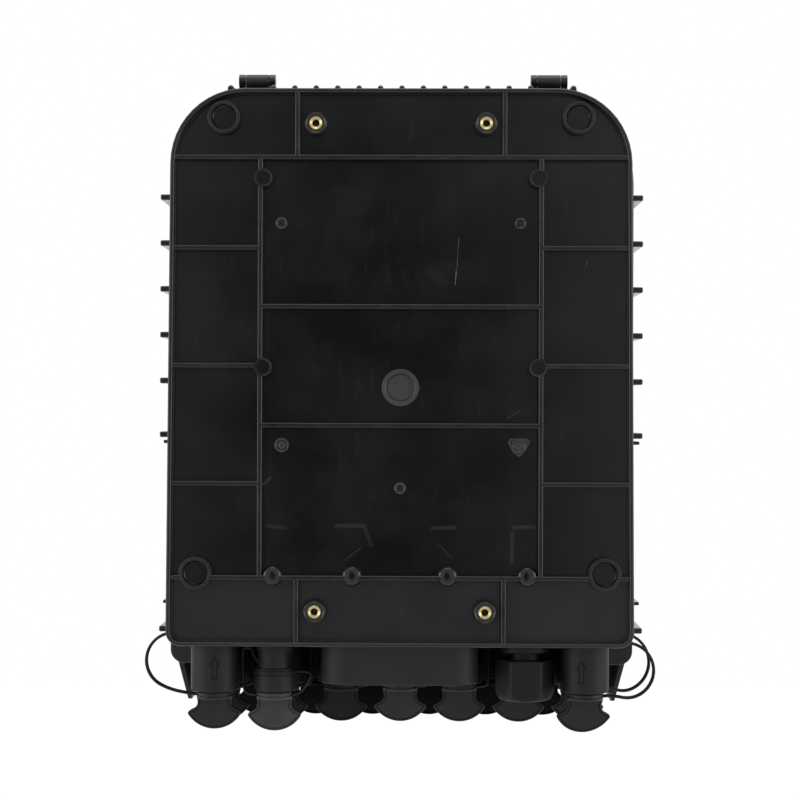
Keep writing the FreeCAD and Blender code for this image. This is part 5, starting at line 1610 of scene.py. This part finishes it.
@dataclass
class DustCap:
    """A rubber dust cap with a fan-shaped pull tab, and the strap that holds it."""

    number: int
    x: float
    y: float
    strain: Strain = Strain.DROP
    rubber: Finish = Finish.CAP
    top: float = -164.3
    plug: tuple[float, float, float] = (4.4, 3.45, 8.2)
    plug_edge: float = 0.5
    collar: float = 9.15
    collar_thick: float = 4
    collar_sides: int = 56
    neck: float = 9.0
    half: float = 13.5
    height: float = 16.3
    thick: float = 3
    lift: float = 0.0
    lean: float = 0.0
    groove: Pairs = ((1.9, 0.1), (1.6, 0.1), (1.4, 0.6), (0.95, 0.6), (0.75, 0.05), (0.5, 0),
                     (0.15, 0.15), (0, 0.5))
    flank_steps: int = 10
    strap_thick: float = 1.5
    strap_wide: float = 2.6
    strap_grip: float = 0.4
    spread: float = 15.15
    loop_x: float = 115.0
    loop_radius: float = 14.1
    outer_loop_radius: float = 15.35
    loop_turn: int = 36
    input_route: Pairs = ((-71.8, -150.6), (-74.2, -147.0), (-75.6, -142.4), (-79.6, -142.4), (-80.0, -147.5),
                          (-79.7, -156), (-79.3, -162.5))

    @property
    def body(self) -> str:
        """The body that the cap rides on."""
        return f"cap_{self.number:02d}"

    def build(self) -> None:
        """Makes the cap and its strap."""
        olive = (Finish.CAP_PALE, Finish.CAP_OLIVE, Finish.CAP_DULL)
        slot = "cap_olive" if self.rubber in olive else "cap_black"
        number = f"{self.number:02d}"
        set_rigid(f"dust_plug_{number}", self._cap(), self.rubber, slot, self.body, f"dust_cap_{number}")
        strap = blend_strap(f"cap_strap_{number}", self._route(), self.strap_wide, self.strap_thick)
        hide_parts(f"cap_tether_{number}")

    def _cap(self) -> Mould:
        """Plug, collar and fan.

        Returns:
            The cap's mould.
        """
        top, collar = self.top, self.collar
        low = top - self.collar_thick
        across, deep, high = self.plug
        mould = Mould()
        lowest = (self.x - across, self.y - deep, top - 1)
        mould.bar(lowest, (self.x + across, self.y + deep, top + high), self.plug_edge)
        profile = [(collar - 1.2, top), (collar - 0.4, top - 0.12), (collar, top - 0.6), (collar, top - 1.55),
                   (collar - 0.45, top - 1.75), (collar - 0.45, top - 2.25), (collar, top - 2.45),
                   (collar, low + 0.7), (collar - 0.3, low + 0.2), (collar - 1.0, low)]
        mould.lathe(profile, (self.x, self.y), Axis.Z, self.collar_sides)
        back, front = self.y - self.thick / 2, self.y + self.thick / 2
        levels = [(pull, back + depth) for pull, depth in self.groove]
        levels += [(pull, front - depth) for pull, depth in reversed(self.groove)]
        lean = math.tan(math.radians(self.lean))
        rings = []
        for pull, y in levels:
            outline = [(self.x + x + lean * up, low + self.lift + up) for x, up in self._fan(pull)]
            rings.append(Axis.Y.ring(outline, y))
        return mould.loft(rings)

    def _fan(self, pull: float) -> Flat:
        """The tab's outline about the collar's lower face: hollow flanks, round tips, curved lower edge.

        Args:
            pull: How far the outline is moved inwards.

        Returns:
            The outline, counter-clockwise, with as many points for every pull.
        """
        bends = ((self.neck - pull, -0.5), (self.neck - 1.9 - pull, -5.5),
                 (self.half - 0.6 - pull, -6.9 - pull))
        right = [(self.neck - pull, 0.9)]
        for step in range(self.flank_steps):
            share = step / self.flank_steps
            weights = ((1 - share) ** 2, 2 * share * (1 - share), share ** 2)
            right.append(tuple(sum(w * p[axis] for w, p in zip(weights, bends)) for axis in (0, 1)))
        tip = max(0.2, 1.25 - 0.5 * pull)
        right += arc_points((self.half - pull - tip, -8.4), tip, 65, -30, 6)
        reach, rise = right[-1]
        low = self.height - pull
        radius = (reach ** 2 + (low + rise) ** 2) / (2 * (low + rise))
        turn = math.degrees(math.asin(min(1, reach / radius)))
        right += arc_points((0, radius - low), radius, -90 + turn, -90, 16)[1:]
        return [(-x, z) for x, z in right[:-1]] + [(x, z) for x, z in reversed(right)]

    def _route(self) -> Ring:
        """The strap's control points, from its root to the collar.

        Returns:
            The points.
        """
        end = self.top - self.collar_thick / 2
        if self.strain is Strain.DROP:
            out = self.x + self.spread
            flat = [(out, level) for level in (-139.8, -147, -155, -162)]
            flat += [(out - 0.4, end), (self.x + self.collar - self.strap_grip, end)]
        elif self.strain is Strain.INPUT:
            flat = [*self.input_route, (-78.2, end), (self.x - self.collar + self.strap_grip, end)]
        else:
            flat = self._loop(end)
        return [Vector((x, self.y, z)) for x, z in flat]

    def _loop(self, end: float) -> Flat:
        """Control points of a loop outside the case: corners of a many-sided ring round it.

        Args:
            end: Level of the collar's middle.

        Returns:
            Points in X and Z.
        """
        left = self.strain is Strain.LEFT_LOOP
        side, level, first = (-1, -149.2, 84) if left else (1, -153.2, 86)
        radius = self.outer_loop_radius if self.strain is Strain.RIGHT_OUTER_LOOP else self.loop_radius
        middle = (self.loop_x, level)
        points = [on_ring(middle, radius, first)]
        corner = radius / math.cos(math.radians(self.loop_turn / 2))
        points += [on_ring(middle, corner, turn) for turn in range(64, -91, -self.loop_turn)]
        points += [(self.loop_x - 7.0, end + 0.4), (abs(self.x) + self.collar - self.strap_grip, end)]
        return [(side * x, z) for x, z in points]


def on_ring(middle: Pair, radius: float, turn: float) -> Pair:
    """The point of a circle at an angle in degrees."""
    angle = math.radians(turn)
    return (middle[0] + radius * math.cos(angle), middle[1] + radius * math.sin(angle))


@dataclass
class Gland:
    """The cable gland: body, nut with flats, and rubber seal."""

    x: float = 63.7
    y: float = 18
    floor: float = -140
    shoulder: float = 12.6
    bore: float = 5.85
    body_sides: int = 64
    nut_top: float = -147.65
    nut_end: float = -168.05
    nut_sides: int = 96
    nut_bore: float = 8.1
    corner: float = 15.35
    corner_cut: float = 0.25
    mouth: float = 6.4
    mouth_deep: float = -165.1

    def build(self, nodes: dict[str, bpy.types.Object]) -> None:
        """Makes the gland.

        Args:
            nodes: The solids' objects by name.
        """
        black, slot = Finish.GLAND, "gland_plastic"
        seal = Mould().copy_of(nodes["gland_seal"], 0.3)
        ring = Mould().copy_of(nodes["gland_locknut"], 0.3)
        set_rigid("gland_barrel", self._body(), black, slot, "base", "gland_body")
        set_rigid("gland_cap_nut", self._nut(), black, slot, "gland_nut", "gland_nut")
        set_rigid("gland_grommet", seal, Finish.SEAL, "seal_rubber", "base", "gland_seal")
        set_rigid("gland_ring_nut", ring, black, slot, "base", "gland_locknut")

    def _body(self) -> Mould:
        """Shoulder under the floor and the shank through it.

        Returns:
            The body's mould.
        """
        wide, floor = self.shoulder, self.floor
        profile = [(self.bore, -127.05), (7.6, -127.05), (7.9, -127.5), (7.9, floor), (wide - 0.5, floor),
                   (wide, floor - 0.5), (wide, floor - 3.3), (wide - 0.6, -143.95), (7.95, -144.0),
                   (7.95, -156.0), (self.bore, -156.0)]
        return Mould().lathe(profile, (self.x, self.y), Axis.Z, self.body_sides, closed=True)

    def _nut(self) -> Mould:
        """The nut: six flats with softened corners, domed at its end, hollow.

        Returns:
            The nut's mould.
        """
        top, end = self.nut_top, self.nut_end
        rows = [(14.4, top), (15.1, top - 0.5), (self.corner, top - 1.3), (self.corner, -160.5),
                (15.0, -163.0), (14.5, -165.2), (13.8, -166.9), (12.9, -167.8), (12.0, end)]
        flat = self.corner * math.cos(math.radians(30))
        rings = []
        for limit, level in rows:
            ring = []
            for step in range(self.nut_sides):
                turn = math.tau * step / self.nut_sides
                lean = turn % (math.pi / 3) - math.pi / 6
                reach = min(flat / math.cos(lean), limit, self.corner - self.corner_cut)
                ring.append(Vector((self.x + reach * math.cos(turn), self.y + reach * math.sin(turn), level)))
            rings.append(ring)
        hollow = [(self.mouth + 0.4, end), (self.mouth, end + 0.4), (self.mouth, self.mouth_deep),
                  (self.nut_bore, self.mouth_deep), (self.nut_bore, top)]
        for radius, level in hollow:
            rings.append(Axis.Z.ring(circle((self.x, self.y), radius, self.nut_sides), level))
        return Mould().loft(rings, closed=True)


@dataclass
class InputPort:
    """The flanged input port left of the oval entry, with the ring and the fold of its cap's strap."""

    x: float = -63.7
    y: float = 16.5
    profile: Pairs = (
        (7.6, -135.1), (7.9, -135.5), (7.9, -140.02), (9.3, -140.02), (9.68, -140.4), (9.68, -142.9),
        (9.3, -143.35), (9.0, -143.4), (8.7, -143.9), (8.7, -151.6), (8.9, -152.1), (9.6, -152.2),
        (10.1, -152.45), (10.28, -153.0), (10.28, -155.2), (10.0, -155.45), (10.0, -155.75), (10.28, -156.0),
        (10.28, -163.2), (10.05, -163.75), (9.5, -164.0), (6.0, -164.0))
    ring: Pairs = ((10.35, -153.1), (10.7, -153.1), (10.95, -153.35), (10.95, -154.9), (10.7, -155.15),
                   (10.35, -155.15))
    fold: Pairs = ((-53.2, -154.2), (-49.5, -154.3), (-44.9, -154.9), (-45.4, -157.6), (-48.4, -162.4),
                   (-50.6, -165.4), (-54.9, -166.3))
    fold_wide: float = 4.2
    fold_thick: float = 1.3
    sides: int = 64
    ring_sides: int = 56

    def build(self) -> None:
        """Makes the port with its flange, neck and collar, and the strap's ring and folded tail."""
        place = (self.x, self.y)
        port = Mould().lathe(list(self.profile), place, Axis.Z, self.sides)
        set_rigid("input_port", port, Finish.PORT, "gland_plastic", "base", "input_adapter")
        ring = Mould().lathe(list(self.ring), place, Axis.Z, self.ring_sides, closed=True)
        set_rigid("input_strap_ring", ring, Finish.STRAP, "strap_rubber", "base")
        control = [Vector((x, self.y, z)) for x, z in self.fold]
        blend_strap("input_strap_fold", control, self.fold_wide, self.fold_thick)


@dataclass
class Fittings:
    """The cover, latches and inner fittings: merged copies of their solids with softened edges."""

    softened: tuple[tuple[str, str, str, Finish, str, float], ...] = (
        ("box_cover", "front_cover", "cover", Finish.COVER, "cover_plastic", 0.3),
        ("latch_bar_left", "latch_left", "latch_left", Finish.COVER, "cover_plastic", 0.3),
        ("latch_bar_right", "latch_right", "latch_right", Finish.COVER, "cover_plastic", 0.3),
        ("seal_cord", "cover_gasket", "base", Finish.SEAL, "seal_rubber", 0.5),
        ("oval_plug", "oval_port_seal", "base", Finish.SEAL, "seal_rubber", 0.5),
        ("fibre_tray", "splice_tray", "base", Finish.TRAY, "tray_plastic", 0.25),
        ("splitter_case", "splitter_module", "base", Finish.SPLITTER, "splitter_plastic", 0.7),
        ("adapters_rear", "sc_adapters_row_1", "base", Finish.ADAPTER, "adapter_plastic", 0.35),
        ("adapters_middle", "sc_adapters_row_2", "base", Finish.ADAPTER, "adapter_plastic", 0.35),
        ("adapters_front", "sc_adapters_row_3", "base", Finish.ADAPTER, "adapter_plastic", 0.35),
        ("clamp_plate", "strength_clamp", "base", Finish.STEEL, "steel", 0.25),
        ("clamp_bolt", "clamp_screw", "base", Finish.STEEL, "steel", 0.2),
        ("tray_bolts", "tray_screws", "base", Finish.STEEL, "steel", 0.2),
    )
    bare: tuple[tuple[str, Finish], ...] = (("hinge_pins", Finish.STEEL), ("latch_pins", Finish.STEEL))

    def build(self, nodes: dict[str, bpy.types.Object]) -> None:
        """Makes the copies and dresses what stays.

        Args:
            nodes: The solids' objects by name.
        """
        for name, node, body, finish, slot, edge in self.softened:
            set_rigid(name, Mould().copy_of(nodes[node], edge), finish, slot, body, node)
        for node, finish in self.bare:
            nodes[node].data.materials.clear()
            nodes[node].data.materials.append(finish.material)
            LOG.info("%s: dressed", node)


def caps() -> list[DustCap]:
    """Every dust cap with its place, strap and colour.

    Returns:
        The caps in the order of their numbers.
    """
    places = [(-94.3, 16.5), (-63.7, 16.5), (94.3, 16.5)]
    places += [(31.0 * step, 46.0) for step in range(-3, 4)]
    places += [(30.3 * (step + 0.5), 67.5) for step in range(-3, 3)]
    strains = {1: Strain.LEFT_LOOP, 2: Strain.INPUT, 3: Strain.RIGHT_LOOP, 10: Strain.RIGHT_OUTER_LOOP}
    rubbers = {2: Finish.CAP_PALE, 7: Finish.CAP_OLIVE, 8: Finish.CAP_DULL}
    # Caps 4 to 6 are painted darker: painted shade.
    rubbers.update({number: Finish.CAP_SHADED for number in (4, 5, 6)})
    rubbers.update({number: Finish.CAP_BACK_ROW for number in range(11, 17)})
    lifts = {1: 0.8}
    leans = {3: 6.0}
    return [
        DustCap(number, x, y, strains.get(number, Strain.DROP), rubbers.get(number, Finish.CAP),
                lift=lifts.get(number, 0.0), lean=leans.get(number, 0.0))
        for number, (x, y) in enumerate(places, 1)
    ]


def main() -> None:
    """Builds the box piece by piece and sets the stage."""
    logging.basicConfig(level=logging.INFO, format="%(name)s %(message)s")
    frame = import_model()
    bpy.context.scene.view_settings.view_transform = "Standard"
    nodes = frame["nodes"]
    row, ring = RepeatTree(Repeat.ROW), RepeatTree(Repeat.RING)
    CaseShell().build()
    RearDetails().build()
    SideFins().build(row)
    PortRows().build(row)
    RearInserts().build(ring)
    for cap in caps():
        cap.build()
    Gland().build(nodes)
    InputPort().build()
    Fittings().build(nodes)
    Studio().build()


if __name__ == "__main__":
    main()
